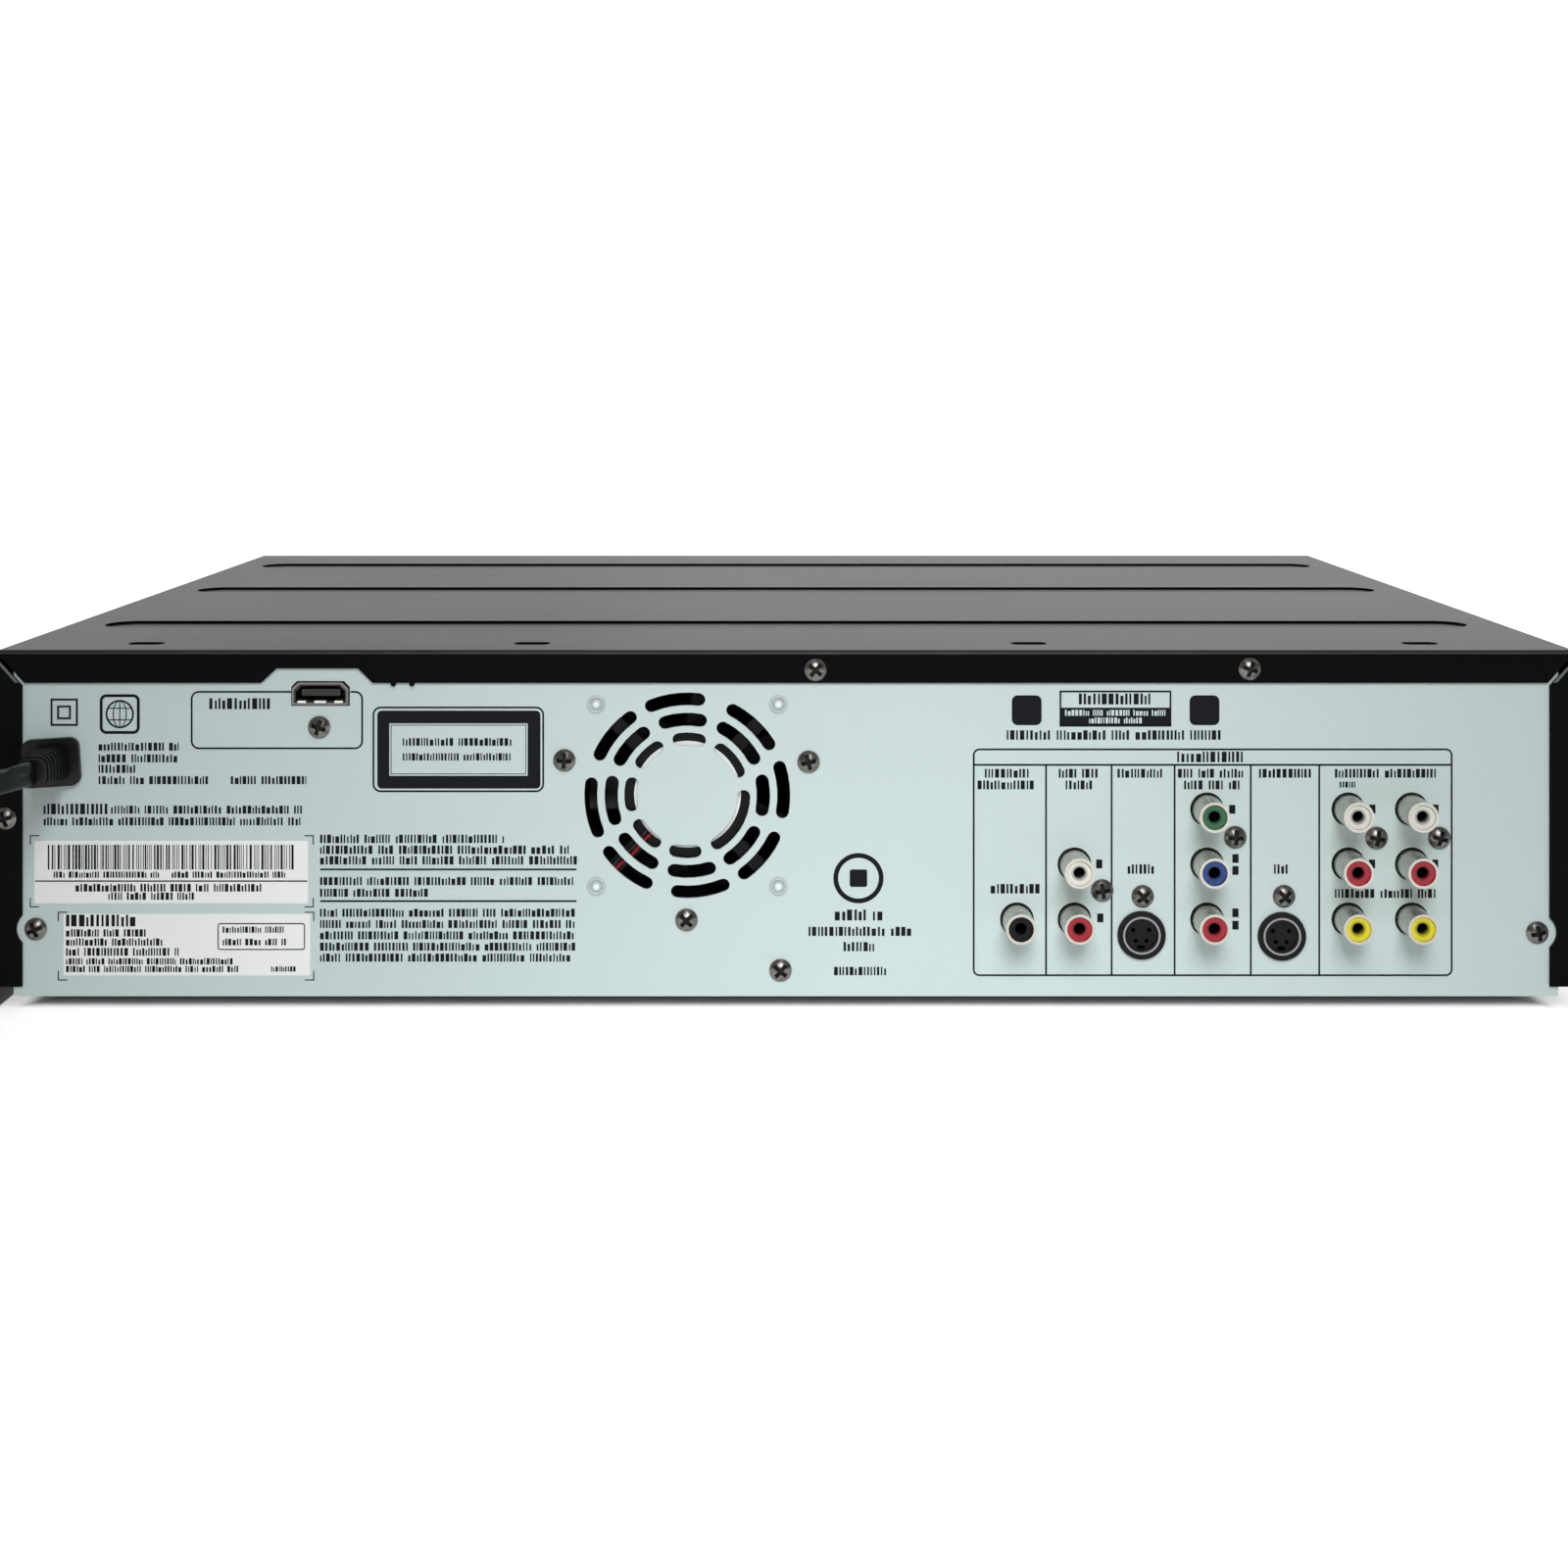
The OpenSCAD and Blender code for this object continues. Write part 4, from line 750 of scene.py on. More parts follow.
def lead_section(width, thickness):
    """A flat lead seen end on: round edges and a shallow groove down each broad face"""
    half, r = width / 2, thickness / 2
    groove, deep = 0.6, 0.22
    points = []
    for way in (1, -1):
        for i in range(9):
            angle = math.radians(90 - 90 * way + 180 * i / 8)
            points.append((r * math.cos(angle), way * (half - r) + r * math.sin(angle)))
        points += [(-r * way, groove * way), ((deep - r) * way, 0.0), (-r * way, -groove * way)]
    return points


class PLAYER_OT_lead(bpy.types.Operator):
    """Lays the mains lead from its sleeve to the coil on the floor, with its tie and plug"""

    bl_idname = "player.lead"
    bl_label = "Mains lead"

    def execute(self, context):
        look = context.scene.player_lead
        paint = context.scene.player_paint
        black = vinyl("lead_vinyl", paint.lead)
        free = smooth_path(ROUTE, 6)
        tail = smooth_path(TAIL, 6)
        path = free[:-1] + [Vector(ROUTE[-1])] + coil_path(look.pitch, look.turns) + tail
        mesh = bmesh.new()
        sweep(mesh, path, lead_section(look.width, look.thickness))
        lead = piece("mains_lead", mesh, black, smooth=True)
        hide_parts("power_cord", "cord_coil")
        tie = self.tie(look, black)
        dress("power_plug", plug_vinyl(paint.lead))
        dress("cord_bushing", moulded("bushing_vinyl", paint.lead, 1300.0, 0.00006, 0.34, 0.25))
        return {"FINISHED"}

    @staticmethod
    def tie(look, material):
        """A flat band round all the turns, on the side of the coil towards the player's front"""
        # The band's own sizes, and then the turns' outline with a little slack
        thick = 0.7
        width = 5.0
        inner = COIL_START + look.pitch * TIE_TURN - look.thickness / 2 - 0.25
        outer = COIL_START + look.pitch * (look.turns - TIE_TURN) + look.thickness / 2 + 0.2
        low = COIL_Z - look.width / 2 - 0.3
        high = COIL_Z + look.width / 2 + 0.3
        x0 = COIL_AT[0] - width / 2
        near, far = COIL_AT[1] - inner, COIL_AT[1] - outer
        outside = round_outline(far - thick, low - 0.15, near + thick, high + thick, 1.4, 4)
        inside = round_outline(far, low, near, high, 0.8, 4)
        mesh = bmesh.new()
        rows = [
            [mesh.verts.new((x * MM, y * MM, z * MM)) for y, z in loop]
            for x, loop in ((x0, outside), (x0, inside), (x0 + width, inside), (x0 + width, outside))
        ]
        for a, b in zip(rows, rows[1:] + rows[:1]):
            join(mesh, a, b)
        return piece("lead_tie", mesh, material)


# ---------- stage ----------
# The case on the floor, in metres: half its width, its middle in y and half its depth
CASE_HALF_WIDTH = 0.2175
CASE_MIDDLE_Y = -0.005
CASE_HALF_DEPTH = 0.158
# Where each lamp stands, and the point that it faces
KEY_LAMP = ((-0.06, 0.84, 0.58), (-0.03, 0.2, -0.02))
FRONT_LAMP = ((-0.3, -1.5, 1.2), (0, -0.1, 0.05))


class PLAYER_OT_stage(bpy.types.Operator):
    """Sets up the camera, the lamps, the pale floor and the white surround"""

    bl_idname = "player.stage"
    bl_label = "Stage"

    def execute(self, context):
        stage = context.scene.player_stage
        self.camera(context, stage)
        self.floor()
        self.surround(context, stage)
        self.lamps(context, stage)
        context.scene.view_settings.view_transform = "Standard"
        return {"FINISHED"}

    @staticmethod
    def camera(context, stage):
        data = bpy.data.cameras.new("camera")
        data.lens = stage.lens
        data.sensor_width = 36
        data.shift_x = stage.aside
        data.shift_y = stage.rise
        data.clip_start = 0.01
        camera = bpy.data.objects.new("camera", data)
        camera.location = (0, stage.distance, stage.height)
        camera.rotation_euler = (math.radians(90), 0, math.radians(180))
        context.scene.collection.objects.link(camera)
        context.scene.camera = camera

    @staticmethod
    def floor():
        """A pale floor with a painted shadow under the case, the case's own shadow kept near it, and white
        farther away
        """
        f, at = finish("pale_floor")
        rays = f.node("ShaderNodeLightPath")
        seen = rays["Is Camera Ray"].most(rays["Is Glossy Ray"]).most(rays["Is Transmission Ray"])
        x, y, _ = f.split(at)
        paper = f.noise(at, 3, 2)
        beside = x.size() - CASE_HALF_WIDTH
        beyond = (y - CASE_MIDDLE_Y).size() - CASE_HALF_DEPTH
        # The change at the case's edge, below zero under it, and the rounded distance out from its sides
        edge = beside.most(beyond)
        clear = (beside.most(0) ** 2 + beyond.most(0) ** 2) ** 0.5
        glow = edge.step(-0.0095, -0.004) * 0.52 + clear.step(0.02, 0.2) * 0.5
        # Painted shadow: the floor's own colour darkens under the case's edge
        painted_shadow = 0.15 + edge.step(-0.0165, -0.005) * 0.75
        white = (1, 1, 1)
        sheet = f.tinted(white, painted_shadow * (0.99 + paper * 0.02))
        lit = f.node("ShaderNodeBsdfDiffuse", None, {"Color": sheet})["BSDF"]
        own = f.node("ShaderNodeEmission", None, {"Color": white, "Strength": seen * glow})["Emission"]
        both = f.node("ShaderNodeAddShader", None, {0: lit, 1: own})["Shader"]
        f.node("ShaderNodeOutputMaterial", None, {"Surface": both})
        mesh = bmesh.new()
        bmesh.ops.create_circle(mesh, cap_ends=True, radius=14, segments=96)
        added("floor", mesh, f.owner)

    @staticmethod
    def surround(context, stage):
        """White to the camera, a pale wall in front of the player and a dim room behind the camera"""
        world = bpy.data.worlds.new("surround")
        context.scene.world = world
        f = Finish(world)
        rays = f.node("ShaderNodeLightPath")
        way = f.split(f.node("ShaderNodeTexCoord")["Generated"])[1]
        backdrop = 1 - way.step(-0.35, 0.45) * 0.9
        seen = rays["Is Camera Ray"].most(rays["Is Transmission Ray"])
        mirrored = rays["Is Glossy Ray"] * backdrop
        rest = (1 - seen) * (1 - rays["Is Glossy Ray"]) * stage.fill
        strength = (seen + (1 - seen) * mirrored) + rest
        white = {"Color": (1, 1, 1), "Strength": strength}
        even = f.node("ShaderNodeBackground", None, white)["Background"]
        f.node("ShaderNodeOutputWorld", None, {"Surface": even})

    @staticmethod
    def lamps(context, stage):
        """A soft round lamp high over the back, and a large square one over the front"""
        key = bpy.data.lights.new("key", "SPOT")
        key.energy = stage.key_power
        key.spot_size = math.radians(44)
        key.spot_blend = 0.5
        key.shadow_soft_size = 0.25
        front = bpy.data.lights.new("front_light", "AREA")
        front.energy = stage.front_power
        front.shape = "SQUARE"
        front.size = 1.2
        for data, (place, aim) in ((key, KEY_LAMP), (front, FRONT_LAMP)):
            lamp = bpy.data.objects.new(data.name, data)
            lamp.location = place
            lamp.rotation_euler = (Vector(aim) - Vector(place)).to_track_quat("-Z", "Y").to_euler()
            context.scene.collection.objects.link(lamp)


# ---------- case ----------
class PLAYER_OT_case(bpy.types.Operator):
    """Paints the case: cover, rear panel, base, feet and screws"""

    bl_idname = "player.case"
    bl_label = "Case"

    def execute(self, context):
        paint = context.scene.player_paint
        dress("top_cover", cover_paint(paint.cover))
        dress("rear_panel", panel_paint(paint.panel))
        dress("chassis_base", plated_steel())
        dress("rubber_feet", rubber())
        dress("panel_screws base_screws", screw_plating())
        self.rivets()
        return {"FINISHED"}

    @staticmethod
    def rivets():
        """Four pale rivets that hold the fan: a dome, a groove round it and a raised rim"""
        x, z = middle_of("fan_frame")
        apart = 25
        mesh = bmesh.new()
        # Radius, and height over the panel
        dome = [(2.5, 0.0), (2.45, 0.25), (2.1, 0.35), (1.75, 0.25), (1.6, 0.06), (1.45, 0.06)]
        for i in range(6):
            angle = math.radians(18 * i)
            dome.append((max(1.35 * math.cos(angle), 0.1), 0.12 + 1.0 * math.sin(angle)))
        for dx in (-apart, apart):
            for dz in (-apart, apart):
                turned(mesh, x + dx, z + dz, [(r, PANEL_FACE + out) for r, out in dome])
        f, at = finish("rivet_plastic")
        cloud = f.noise(at, 300, 2)
        out = f.split(at)[1] / MM - PANEL_FACE
        # Painted shade low in the groove and at the rim's foot, and a painted highlight on the top of each
        # dome
        groove = out < 0.14
        crown_highlight = out.step(0.7, 1.05)
        pale = f.surface(
            Base_Color=f.tinted((0.56, 0.63, 0.62), 0.88 + cloud * 0.1 + crown_highlight * 0.6 - groove * 0.62),
            Roughness=0.22 + cloud * 0.1,
        )
        piece("fan_rivets", mesh, pale, smooth=True)


# ---------- panel print ----------
# Widths of the strokes and of the gaps between them, in heights of the line of print
STROKES = (0.18, 0.22, 0.28, 0.46)
GAPS = (0.16, 0.18, 0.22)


def words(x, z, height, total, seed):
    """Groups of plain upright strokes in place of a line of print. x is its left end, seen from behind"""
    pick = random.Random(seed)
    half = 0.5 * height
    end = x - total
    strokes = []
    while x - end > 0.3 * height:
        for _ in range(pick.randint(4, 18)):
            width = min(height * pick.choice(STROKES), x - end)
            if width < 0.12 * height:
                break
            rise = pick.choice((half, half, half, half * 0.6))
            strokes.append((x - width, z - half, x, z + rise))
            x -= width + height * pick.choice(GAPS)
        x -= half
    return strokes


# Lines of print: x of the left end, z of the middle, height and length, in mm
SMALL_PRINT = [
    (188.7, 73.0, 2.2, 22.0), (188.7, 69.8, 2.2, 22.0), (188.7, 66.9, 2.2, 10.3), (188.7, 63.8, 2.2, 30.0),
    (152.4, 63.8, 2.2, 20.7),
    (158.3, 84.8, 3.0, 18.3),
    (203.8, 55.9, 2.9, 17.5), (185.3, 55.7, 2.2, 52.4), (203.8, 52.5, 2.2, 70.5),
    (127.9, 47.7, 2.3, 50.8), (127.9, 44.7, 2.3, 68.3), (127.9, 41.8, 2.3, 70.5),
    (127.9, 36.1, 2.2, 69.8), (127.9, 32.9, 2.2, 31.5),
    (127.9, 27.4, 2.2, 70.5), (127.9, 24.3, 2.2, 70.5), (127.9, 21.2, 2.2, 70.2),
    (127.9, 18.1, 2.2, 70.8), (127.9, 15.1, 2.2, 70.5),
    (105.2, 74.3, 2.1, 30.7), (105.2, 70.2, 2.0, 30.7),
    (-13.4, 26.8, 3.0, 13.2), (-6.2, 22.3, 2.5, 28.3), (-15.8, 18.1, 2.5, 9.1), (-13.2, 11.4, 2.3, 14.3),
    (-60.6, 76.2, 2.6, 60.4),
    (-54.6, 65.7, 2.4, 12.6), (-52.6, 62.5, 2.4, 17.2), (-74.9, 65.7, 2.4, 10.8), (-76.8, 62.5, 2.4, 7.2),
    (-91.0, 65.7, 2.4, 14.2), (-107.6, 65.7, 2.4, 18.4), (-109.3, 62.5, 2.4, 15.2),
    (-129.9, 65.7, 2.4, 14.2), (-150.7, 65.7, 2.4, 27.8), (-152.0, 62.6, 1.6, 4.6),
    (-150.7, 32.7, 2.4, 27.6), (-107.4, 70.2, 2.9, 19.2),
    (-56.2, 34.0, 2.6, 14.0), (-93.8, 39.4, 2.6, 7.2), (-134.0, 39.4, 2.6, 3.8),
]
NOTICE_HEADING = [(-80.4, 86.1, 3.0, 20.4)]
NOTICE_PRINT = [(-76.6, 82.3, 1.6, 27.6), (-83.2, 80.2, 1.6, 14.6)]
STRIPE_LABEL_PRINT = [
    (201.0, 37.9, 1.7, 28.9), (168.6, 37.9, 1.7, 31.3), (195.0, 34.3, 2.1, 51.0), (186.0, 32.0, 2.0, 23.5),
]
PLATE_LABEL_PRINT = [
    (197.6, 25.3, 3.2, 21.9), (197.6, 21.9, 2.0, 21.9), (197.6, 19.4, 2.0, 27.0), (197.6, 16.7, 2.1, 30.9),
    (197.6, 14.1, 1.7, 45.7), (197.6, 12.0, 1.7, 48.4), (141.3, 12.0, 1.4, 8.0),
    (154.6, 22.8, 1.7, 16.8), (154.6, 19.4, 1.8, 17.5),
]
# A mark beside each socket: its middle in x and z, and half its width and height
SOCKET_MARKS = [
    (-86.0, 40.8), (-86.3, 26.0), (-122.5, 55.8), (-123.4, 42.3), (-123.4, 39.0), (-123.4, 27.4),
    (-123.4, 24.0), (-161.0, 55.9), (-178.3, 55.9), (-160.9, 40.8), (-178.2, 40.8),
]
SOCKET_MARK = (0.85, 1.2)
# Long level lines: x of the left end, z of the middle, and length
RULES = [(127.9, 39.3, 70.4), (127.9, 30.6, 70.4)]
# The table round the sockets: its corners, the line under its head, and the lines between its columns
TABLE = (-183.0, 10.0, -51.3, 72.5)
TABLE_HEAD = 68.0
TABLE_COLUMNS = [-71.4, -89.4, -106.7, -127.6, -146.4]
# The frame round the flat socket: its corners and their radius, and the gap in its top edge
PORT_FRAME = (116.1, 72.3, 163.4, 88.3, 2.2)
PORT_GAP = (119.6, 135.7)
# A thin frame, and inside it a thick one between two outlines: corners and the corners' radius
THIN_FRAME = (66.4, 60.5, 113.5, 84.0, 2.2)
THICK_FRAME = ((67.4, 61.5, 112.2, 82.9, 1.2), (70.9, 65.0, 108.9, 79.4, 0.1))
# More frames on the panel: corners, the corners' radius and the line's width
FRAMES = [
    (71.3, 65.4, 108.5, 79.0, 0.1, 0.2), (194.4, 78.7, 201.9, 86.2, 0.1, 0.55),
    (196.3, 80.5, 200.1, 84.3, 0.1, 0.55), (177.4, 76.5, 188.4, 87.4, 1.8, 0.8),
]
# The round marks: middle, outer and inner radius, and the square inside the second
GLOBE = (182.9, 81.95, 3.9, 3.4)
RING = (-19.9, 36.9, 6.9, 5.6)
RING_SQUARE = (-22.3, 34.5, -17.5, 39.3, 0.6)
# The notice: its frame, the dark band in it, and the middles in x of the dark marks on both sides
NOTICE_FRAME = (-105.8, 78.5, -75.1, 88.4, 0.1)
NOTICE_BAND = (-105.4, 78.9, -75.5, 83.7)
NOTICE_MARKS = (-66.1, -114.9)
# The two labels, and the corners on the panel that show where they go
LABELS = {"stripe_label": (131.2, 30.0, 206.3, 47.2), "plate_label": (130.6, 10.2, 198.3, 27.1)}
LABEL_PLACES = [(129.6, 28.9, 207.6, 48.7), (129.5, 8.8, 199.9, 27.7)]
# The bar on one label, and the frame on the other
STRIPE_LABEL_BAR = (131.4, 35.95, 206.1, 36.3)
PLATE_LABEL_FRAME = (132.0, 17.2, 156.0, 24.6, 0.8, 0.3)


class PLAYER_OT_print(bpy.types.Operator):
    """Prints the rear panel's frames, marks and table, and rows of plain strokes in place of words"""

    bl_idname = "player.print"
    bl_label = "Panel print"

    def execute(self, context):
        look = context.scene.player_print
        paint = context.scene.player_paint
        line = look.line
        top = PANEL_FACE + look.ink_depth
        layer = Layer(PANEL_FACE, top)
        self.table(layer, line)
        self.port_frame(layer, line)
        layer.frame(*THIN_FRAME, line)
        layer.ring(*(round_outline(*outline) for outline in THICK_FRAME))
        for shape in FRAMES:
            layer.frame(*shape)
        layer.circle(*GLOBE)
        layer.circle(*RING)
        layer.fill(round_outline(*RING_SQUARE))
        self.notice(layer, line)
        self.label_corners(layer)
        for x, z, length in RULES:
            layer.box(x - length, z - line / 2, x, z + line / 2)
        layer.words(SMALL_PRINT, seed=0)
        across, tall = SOCKET_MARK
        for x, z in SOCKET_MARKS:
            layer.box(x - across, z - tall, x + across, z + tall)
        self.globe(layer)
        layer.lay("panel_print", ink("panel_ink", paint.ink))
        layer = Layer(top, top + look.ink_depth)
        layer.words(NOTICE_PRINT, seed=400)
        layer.lay("notice_print", ink("pale_ink", paint.panel))
        return {"FINISHED"}

    @staticmethod
    def globe(layer):
        """Grid lines inside the round mark: two level, one upright and two bowed"""
        x, z = GLOBE[:2]
        r, line = 3.6, 0.14
        for level in (-1.6, 1.6):
            half = math.sqrt(r * r - level * level)
            layer.box(x - half, z + level - line, x + half, z + level + line)
        layer.box(x - line, z - r, x + line, z + r)
        for side in (-1, 1):
            bow = []
            for i in range(13):
                angle = math.radians(-84 + 14 * i)
                bow.append((x + side * 1.8 * math.cos(angle), z + r * math.sin(angle)))
            layer.ring([(a + line, b) for a, b in bow], [(a - line, b) for a, b in bow], closed=False)

    @staticmethod
    def table(layer, line):
        x0, z0, x1, z1 = TABLE
        layer.frame(x0, z0, x1, z1, 1.8, line)
        layer.box(x0 + line, TABLE_HEAD - line / 2, x1 - line, TABLE_HEAD + line / 2)
        for x in TABLE_COLUMNS:
            layer.box(x - line / 2, z0 + line, x + line / 2, TABLE_HEAD - line / 2)

    @staticmethod
    def port_frame(layer, line):
        """A frame that stops on both sides of the socket in its top edge"""
        x0, z0, x1, z1, r = PORT_FRAME
        loops = []
        for inset in (0, line):
            loop = round_outline(x0 + inset, z0 + inset, x1 - inset, z1 - inset, r - inset)[::-1]
            # Two of the outline's four corners lie before the gap, and two after it
            half = len(loop) // 2
            ends = [(x, z1 - inset) for x in PORT_GAP]
            loops.append([ends[1], *loop[half:], *loop[:half], ends[0]])
        layer.ring(*loops, closed=False)

    @staticmethod
    def notice(layer, line):
        """A framed notice with a dark band under its heading, and a dark mark on each side"""
        layer.frame(*NOTICE_FRAME, line)
        layer.box(*NOTICE_BAND)
        layer.words(NOTICE_HEADING, seed=77)
        half, low, high = 4.1, 78.9, 87.1
        for x in NOTICE_MARKS:
            layer.fill(round_outline(x - half, low, x + half, high, 1.6))

    @staticmethod
    def label_corners(layer):
        """Corner marks that show where the two labels go, each of a level and an upright arm"""
        arm, line = 2.6, 0.3
        for x0, z0, x1, z1 in LABEL_PLACES:
            for x, sx in ((x0, 1), (x1, -1)):
                for z, sz in ((z0, 1), (z1, -1)):
                    side = z + sz * line
                    for far, low, high in ((x + sx * arm, z, side), (x + sx * line, side, z + sz * arm)):
                        layer.box(min(x, far), min(low, high), max(x, far), max(low, high))


class PLAYER_OT_labels(bpy.types.Operator):
    """Sticks the two white labels on the panel, with stripes, strokes and a small frame"""

    bl_idname = "player.labels"
    bl_label = "Labels"

    def execute(self, context):
        look = context.scene.player_print
        paint = context.scene.player_paint
        paper = label_paper(paint.label)
        black = ink("label_ink", paint.ink)
        face = PANEL_FACE + look.label_depth
        for name, corners in LABELS.items():
            layer = Layer(PANEL_FACE, face)
            layer.fill(round_outline(*corners, 0.5, 3))
            layer.lay(name, paper)
        layer = Layer(face, face + look.ink_depth)
        self.stripes(layer)
        layer.box(*STRIPE_LABEL_BAR)
        layer.words(STRIPE_LABEL_PRINT, seed=200)
        layer.lay("stripe_label_ink", black)
        layer = Layer(face, face + look.ink_depth)
        layer.words(PLATE_LABEL_PRINT, seed=300)
        layer.frame(*PLATE_LABEL_FRAME)
        layer.lay("plate_label_ink", black)
        return {"FINISHED"}

    @staticmethod
    def stripes(layer):
        """Plain upright stripes of a few widths"""
        pick = random.Random(11)
        x, end = 202.6, 134.9
        low, high = 39.3, 46.1
        while x > end:
            width = pick.choice((0.2, 0.2, 0.26, 0.42, 0.6))
            layer.box(x - width, low, x, high)
            x -= width + pick.choice((0.26, 0.32, 0.42, 0.66))


# ---------- sockets ----------
# Middles of the sockets, x and z in mm. An insert has a colour, holes at the back, and x of one at the front
ROUND_SHELLS = [(-97.6, 21.3), (-136.1, 21.0)]
COLUMNS = (-154.4, -171.8)
REAR_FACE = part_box("insert_green")[1][1] / MM
FRONT_JACK_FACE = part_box("inserts_white")[0][1] / MM
INSERTS = {
    "inserts_white": ((0.78, 0.77, 0.70), [(-79.2, 40.7)] + [(x, 55.8) for x in COLUMNS], -168),
    "inserts_red": (
        (0.40, 0.010, 0.026), [(-79.2, 25.6), (-115.6, 25.6)] + [(x, 40.7) for x in COLUMNS], -150,
    ),
    "inserts_yellow": ((0.82, 0.72, 0.02), [(x, 25.6) for x in COLUMNS], -186),
    "insert_green": ((0.018, 0.13, 0.05), [(-115.6, 55.8)], None),
    "insert_blue": ((0.008, 0.045, 0.22), [(-115.6, 40.7)], None),
}
FRONT_JACK_Z = 24.0


class PLAYER_OT_sockets(bpy.types.Operator):
    """Finishes the sockets and puts the contacts into the flat one"""

    bl_idname = "player.sockets"
    bl_label = "Sockets"

    def execute(self, context):
        dress("socket_bodies", moulded("socket_black", (0.005, 0.005, 0.006), 1500.0, 0.00005, 0.34, 0.15))
        dress("jack_barrels", barrel_plating((0.50, 0.48, 0.43), (0.34, 0.34, 0.33), ROUND_SHELLS))
        dress("hdmi_socket", nickel("shell_nickel", (0.20, 0.19, 0.175), 0.2))
        for node, (colour, middles, front_x) in INSERTS.items():
            holes = [(x, z, REAR_FACE) for x, z in middles]
            if front_x is not None:
                holes.append((front_x, FRONT_JACK_Z, FRONT_JACK_FACE))
            dress(node, glossy_moulding(node + "_plastic", colour, holes=holes))
        self.flat_contacts()
        return {"FINISHED"}

    @staticmethod
    def flat_contacts():
        """A dark sheet inside the flat socket's shell as painted shade, a black back and tongue with gilt
        contacts, and spring tabs below
        """
        middle = middle_of("hdmi_socket")[0]
        tip, top = (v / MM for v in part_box("hdmi_socket")[1][1:])
        half, tall, corner = 7.7, 6.1, 1.6
        wall, back = 0.52, 8.9
        contacts = 10

        # The socket's mouth, drawn in from its edge
        def mouth(inset):
            x0, x1 = middle - half + inset, middle + half - inset
            z0, z1 = top - tall + inset, top - inset
            side = z1 - corner
            return [(x0, z0), (x1, z0), (x1, side), (x1 - corner, z1), (x0 + corner, z1), (x0, side)]

        mesh = bmesh.new()
        # Painted shade: a dark sheet along the shell's inside walls, where the mouth lies in shade
        band(mesh, mouth(wall), mouth(0.95), tip - back, tip - 0.35)
        prism(mesh, mouth(0.6), tip - 8.95, tip - 8.6)
        tongue = round_outline(middle - 5.3, top - 3.75, middle + 5.3, top - 1.95, 0.2, 2)
        prism(mesh, tongue, tip - 8.7, tip - 1.3)
        black = moulded("tongue_black", (0.008, 0.008, 0.008), 1500.0, 0.00004, 0.4)
        piece("flat_socket_shade_sheet_and_tongue", mesh, black)
        layer = Layer(tip - 7.5, tip - 1.7)
        for i in range(contacts):
            x = middle - (contacts - 1) / 2 + i
            layer.box(x - 0.2, top - 3.82, x + 0.2, top - 3.7)
        layer.lay("flat_socket_contacts", nickel("contact_gilt", (0.80, 0.58, 0.22), 0.2, 0.08))
        layer = Layer(tip - 3.0, tip - 0.1)
        for x0, x1 in ((-6.2, -3.9), (-1.6, 1.6), (3.9, 6.2)):
            layer.box(middle + x0, top - tall + wall, middle + x1, top - tall + 1.1)
        layer.lay("flat_socket_tabs", nickel("tab_tin", (0.80, 0.79, 0.76), 0.24, 0.1))


# ---------- fan ----------
# In mm: the hub label's radius, and how the wires run along a strut: start, length, distance apart, the
# height of their middle over it, and their radius
HUB_RADIUS = 14.7
WIRE_START = 14.9
WIRE_LENGTH = 14.3
WIRE_APART = 1.3
WIRE_RISE = 0.52
WIRE_RADIUS = 0.5
WIRES = {"red": (0.20, 0.004, 0.010), "black": (0.010, 0.010, 0.010)}


class PLAYER_OT_fan(bpy.types.Operator):
    """Finishes the fan, with its hub label and its wires along a strut"""

    bl_idname = "player.fan"
    bl_label = "Fan"

    def execute(self, context):
        dress("fan_frame", moulded("fan_plastic", (0.005, 0.005, 0.0055), 1500.0, 0.00004, 0.4, 0.12))
        dress("fan_rotor", moulded("rotor_plastic", (0.006, 0.006, 0.0065), 1500.0, 0.00004, 0.36, 0.3))
        middle = middle_of("fan_frame")
        plate_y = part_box("fan_frame")[1][1] / MM - 1.0
        layer = Layer(plate_y, plate_y + 0.1)
        layer.fill(circle_outline(*middle, HUB_RADIUS, 64))
        f, at = finish("hub_label")
        fibre = f.noise(at, 320, 3)
        white = f.surface(
            Base_Color=f.tinted((0.88, 0.90, 0.90), 0.94 + fibre * 0.1), Roughness=0.34 + fibre * 0.1,
        )
        layer.lay("fan_hub_label", white)
        for k, (name, colour) in enumerate(WIRES.items()):
            offset = (k - 0.5) * WIRE_APART
            path = []
            for i in range(11):
                out = WIRE_START + WIRE_LENGTH * i / 10
                side = offset + 0.25 * math.sin(i * 0.9 + k)
                path.append(Vector((
                    middle[0] + (out + side) * math.sqrt(0.5), plate_y + WIRE_RISE,
                    middle[1] - (out - side) * math.sqrt(0.5),
                )))
            mesh = bmesh.new()
            sweep(mesh, path, circle_outline(0, 0, WIRE_RADIUS, 8))
            piece("fan_wire_" + name, mesh, vinyl("wire_" + name, colour, 0.3), smooth=True)
        return {"FINISHED"}


# ---------- front ----------
MARK_DEPTH = 0.04


def triangle(x, z, size, turn):
    """An equal-sided triangle about a point, in mm, pointing along an angle from +x to +z"""
    return [
        (x + size * math.cos(math.radians(turn + a)), z + size * math.sin(math.radians(turn + a)))
        for a in (0, 120, 240)
    ]


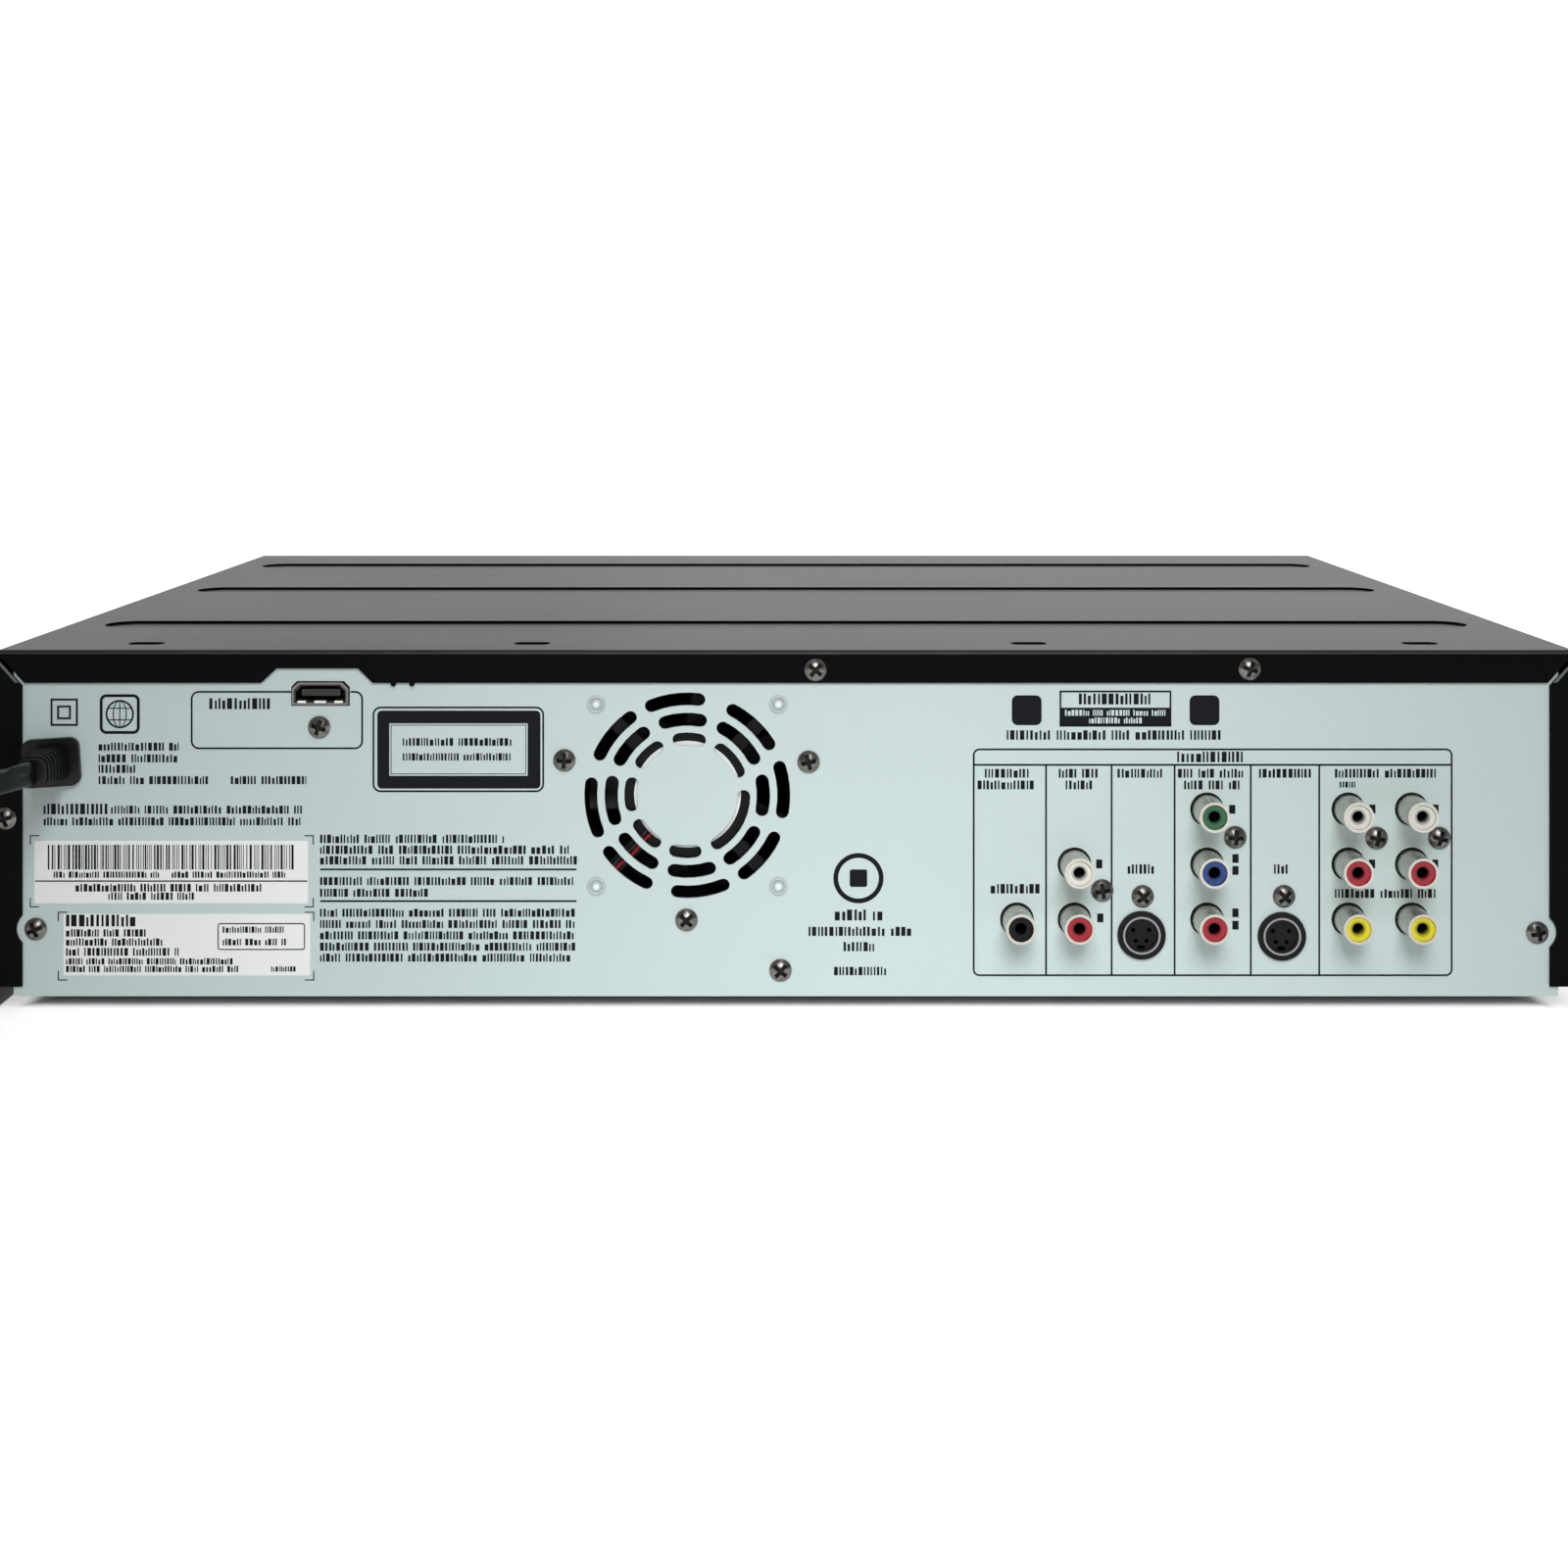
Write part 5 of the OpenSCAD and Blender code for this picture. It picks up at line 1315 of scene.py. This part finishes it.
def key_marks():
    """Outlines of the plain marks on the keys, about each key's middle in mm"""
    out = [triangle(0, 0.5, 1.5, 90), box_outline(-1.3, -1.25, 1.3, -0.75)]
    return {
        "eject": out, "tray": out,
        "rewind": [triangle(-1.2, 0, 1.35, 180), triangle(1.0, 0, 1.35, 180)],
        "play": [triangle(0, 0, 1.6, 0)],
        "forward": [triangle(-1.0, 0, 1.35, 0), triangle(1.2, 0, 1.35, 0)],
        "stop": [box_outline(-1.1, -1.1, 1.1, 1.1)],
        "record": [circle_outline(0, 0, 1.2, 24)],
        "power": [box_outline(-0.275, 0.2, 0.275, 2.4)],
    }


class PLAYER_OT_front(bpy.types.Operator):
    """Finishes the front, its window, doors and keys, and marks the keys"""

    bl_idname = "player.front"
    bl_label = "Front"

    def execute(self, context):
        paint = context.scene.player_paint
        shell = moulded("front_plastic", paint.front, 1900.0, 0.00004, 0.3, 0.2)
        dress("front_bezel cassette_door tray_front", shell)
        dress("display_window", smoked_window())
        dress("front_board", circuit_board("front_board_mask", (0.02, 0.10, 0.04), (0.05, 0.20, 0.07)))
        dark_key = moulded("key_plastic", (0.020, 0.020, 0.022), 2100.0, 0.00003, 0.3)
        dress("eject_button tray_button rewind_button play_button forward_button stop_button", dark_key)
        dress("record_button", glossy_moulding("record_plastic", (0.32, 0.012, 0.014), 0.22))
        dress("power_button", glossy_moulding("power_plastic", (0.46, 0.46, 0.48), 0.24))
        white = ink("mark_ink", (0.62, 0.62, 0.60))
        for key, shapes in key_marks().items():
            x, z = middle_of(key + "_button")
            layer = Layer(KEY_FACE - MARK_DEPTH, KEY_FACE)
            for shape in shapes:
                layer.fill([(x + a, z + b) for a, b in shape])
            if key == "power":
                layer.circle(x, z - 0.1, 2.0, 1.5, 32)
            layer.lay(key + "_mark", white, key + "_key")
        return {"FINISHED"}


# ---------- inside ----------
class PLAYER_OT_inside(bpy.types.Operator):
    """Finishes the cassette deck, the disc drive and the circuit boards"""

    bl_idname = "player.inside"
    bl_label = "Inside"

    def execute(self, context):
        steel = plated_steel("deck_steel", (0.56, 0.57, 0.57))
        bright = turned_aluminium()
        cast = moulded("cast_frame", (0.30, 0.31, 0.32), 700.0, 0.0001, 0.45)
        black = moulded("drive_plastic", (0.020, 0.020, 0.022), 1100.0, 0.00006, 0.42)
        acetal = moulded("acetal", (0.78, 0.76, 0.69), 500.0, 0.00003, 0.3)
        dress("deck_plate loader_frame drive_cover pinch_arm supply_guide takeup_guide", steel)
        dress("drum_base upper_drum capstan_flywheel spindle_motor cassette_carriage", bright)
        dress("drive_housing disc_tray turntable carriage_guides pickup_sled", black)
        dress("supply_reel takeup_reel tray_pinion", acetal)
        dress("traverse_frame", cast)
        dress("pinch_roller", rubber("roller_rubber"))
        brown = circuit_board("brown_board_mask", (0.20, 0.10, 0.035), (0.30, 0.17, 0.06))
        dress("main_board power_board", brown)
        dress("digital_board", circuit_board("green_board_mask", (0.015, 0.09, 0.035), (0.04, 0.19, 0.06)))
        dress("transformer", wound_core())
        dress("capacitors", capacitor_sleeve())
        dress("heat_sink", plated_steel("extruded_aluminium", (0.66, 0.67, 0.68)))
        return {"FINISHED"}


# ---------- panel in the sidebar ----------
class PLAYER_PT_sidebar(bpy.types.Panel):
    """Lists the settings and the steps that dress the player"""

    bl_idname = "PLAYER_PT_sidebar"
    bl_label = "Player"
    bl_space_type = "VIEW_3D"
    bl_region_type = "UI"
    bl_category = "Player"

    def draw(self, context):
        scene = context.scene
        for group in (scene.player_stage, scene.player_lead, scene.player_paint, scene.player_print):
            box = self.layout.box()
            for name in group.__annotations__:
                box.prop(group, name)
        for step in STEPS:
            self.layout.operator(step.bl_idname)


GROUPS = {
    "player_paint": PlayerPaint, "player_print": PlayerPrint,
    "player_lead": PlayerLead, "player_stage": PlayerStage,
}
STEPS = (
    PLAYER_OT_stage, PLAYER_OT_lead, PLAYER_OT_case, PLAYER_OT_print, PLAYER_OT_labels,
    PLAYER_OT_sockets, PLAYER_OT_fan, PLAYER_OT_front, PLAYER_OT_inside,
)


def register():
    for name, group in GROUPS.items():
        bpy.utils.register_class(group)
        setattr(bpy.types.Scene, name, PointerProperty(type=group))
    for made in (*STEPS, PLAYER_PT_sidebar):
        bpy.utils.register_class(made)


def unregister():
    for made in (PLAYER_PT_sidebar, *reversed(STEPS)):
        bpy.utils.unregister_class(made)
    for name, group in reversed(list(GROUPS.items())):
        delattr(bpy.types.Scene, name)
        bpy.utils.unregister_class(group)


def main():
    register()
    for step in STEPS:
        group, name = step.bl_idname.split(".")
        getattr(getattr(bpy.ops, group), name)()


if __name__ == "__main__":
    main()
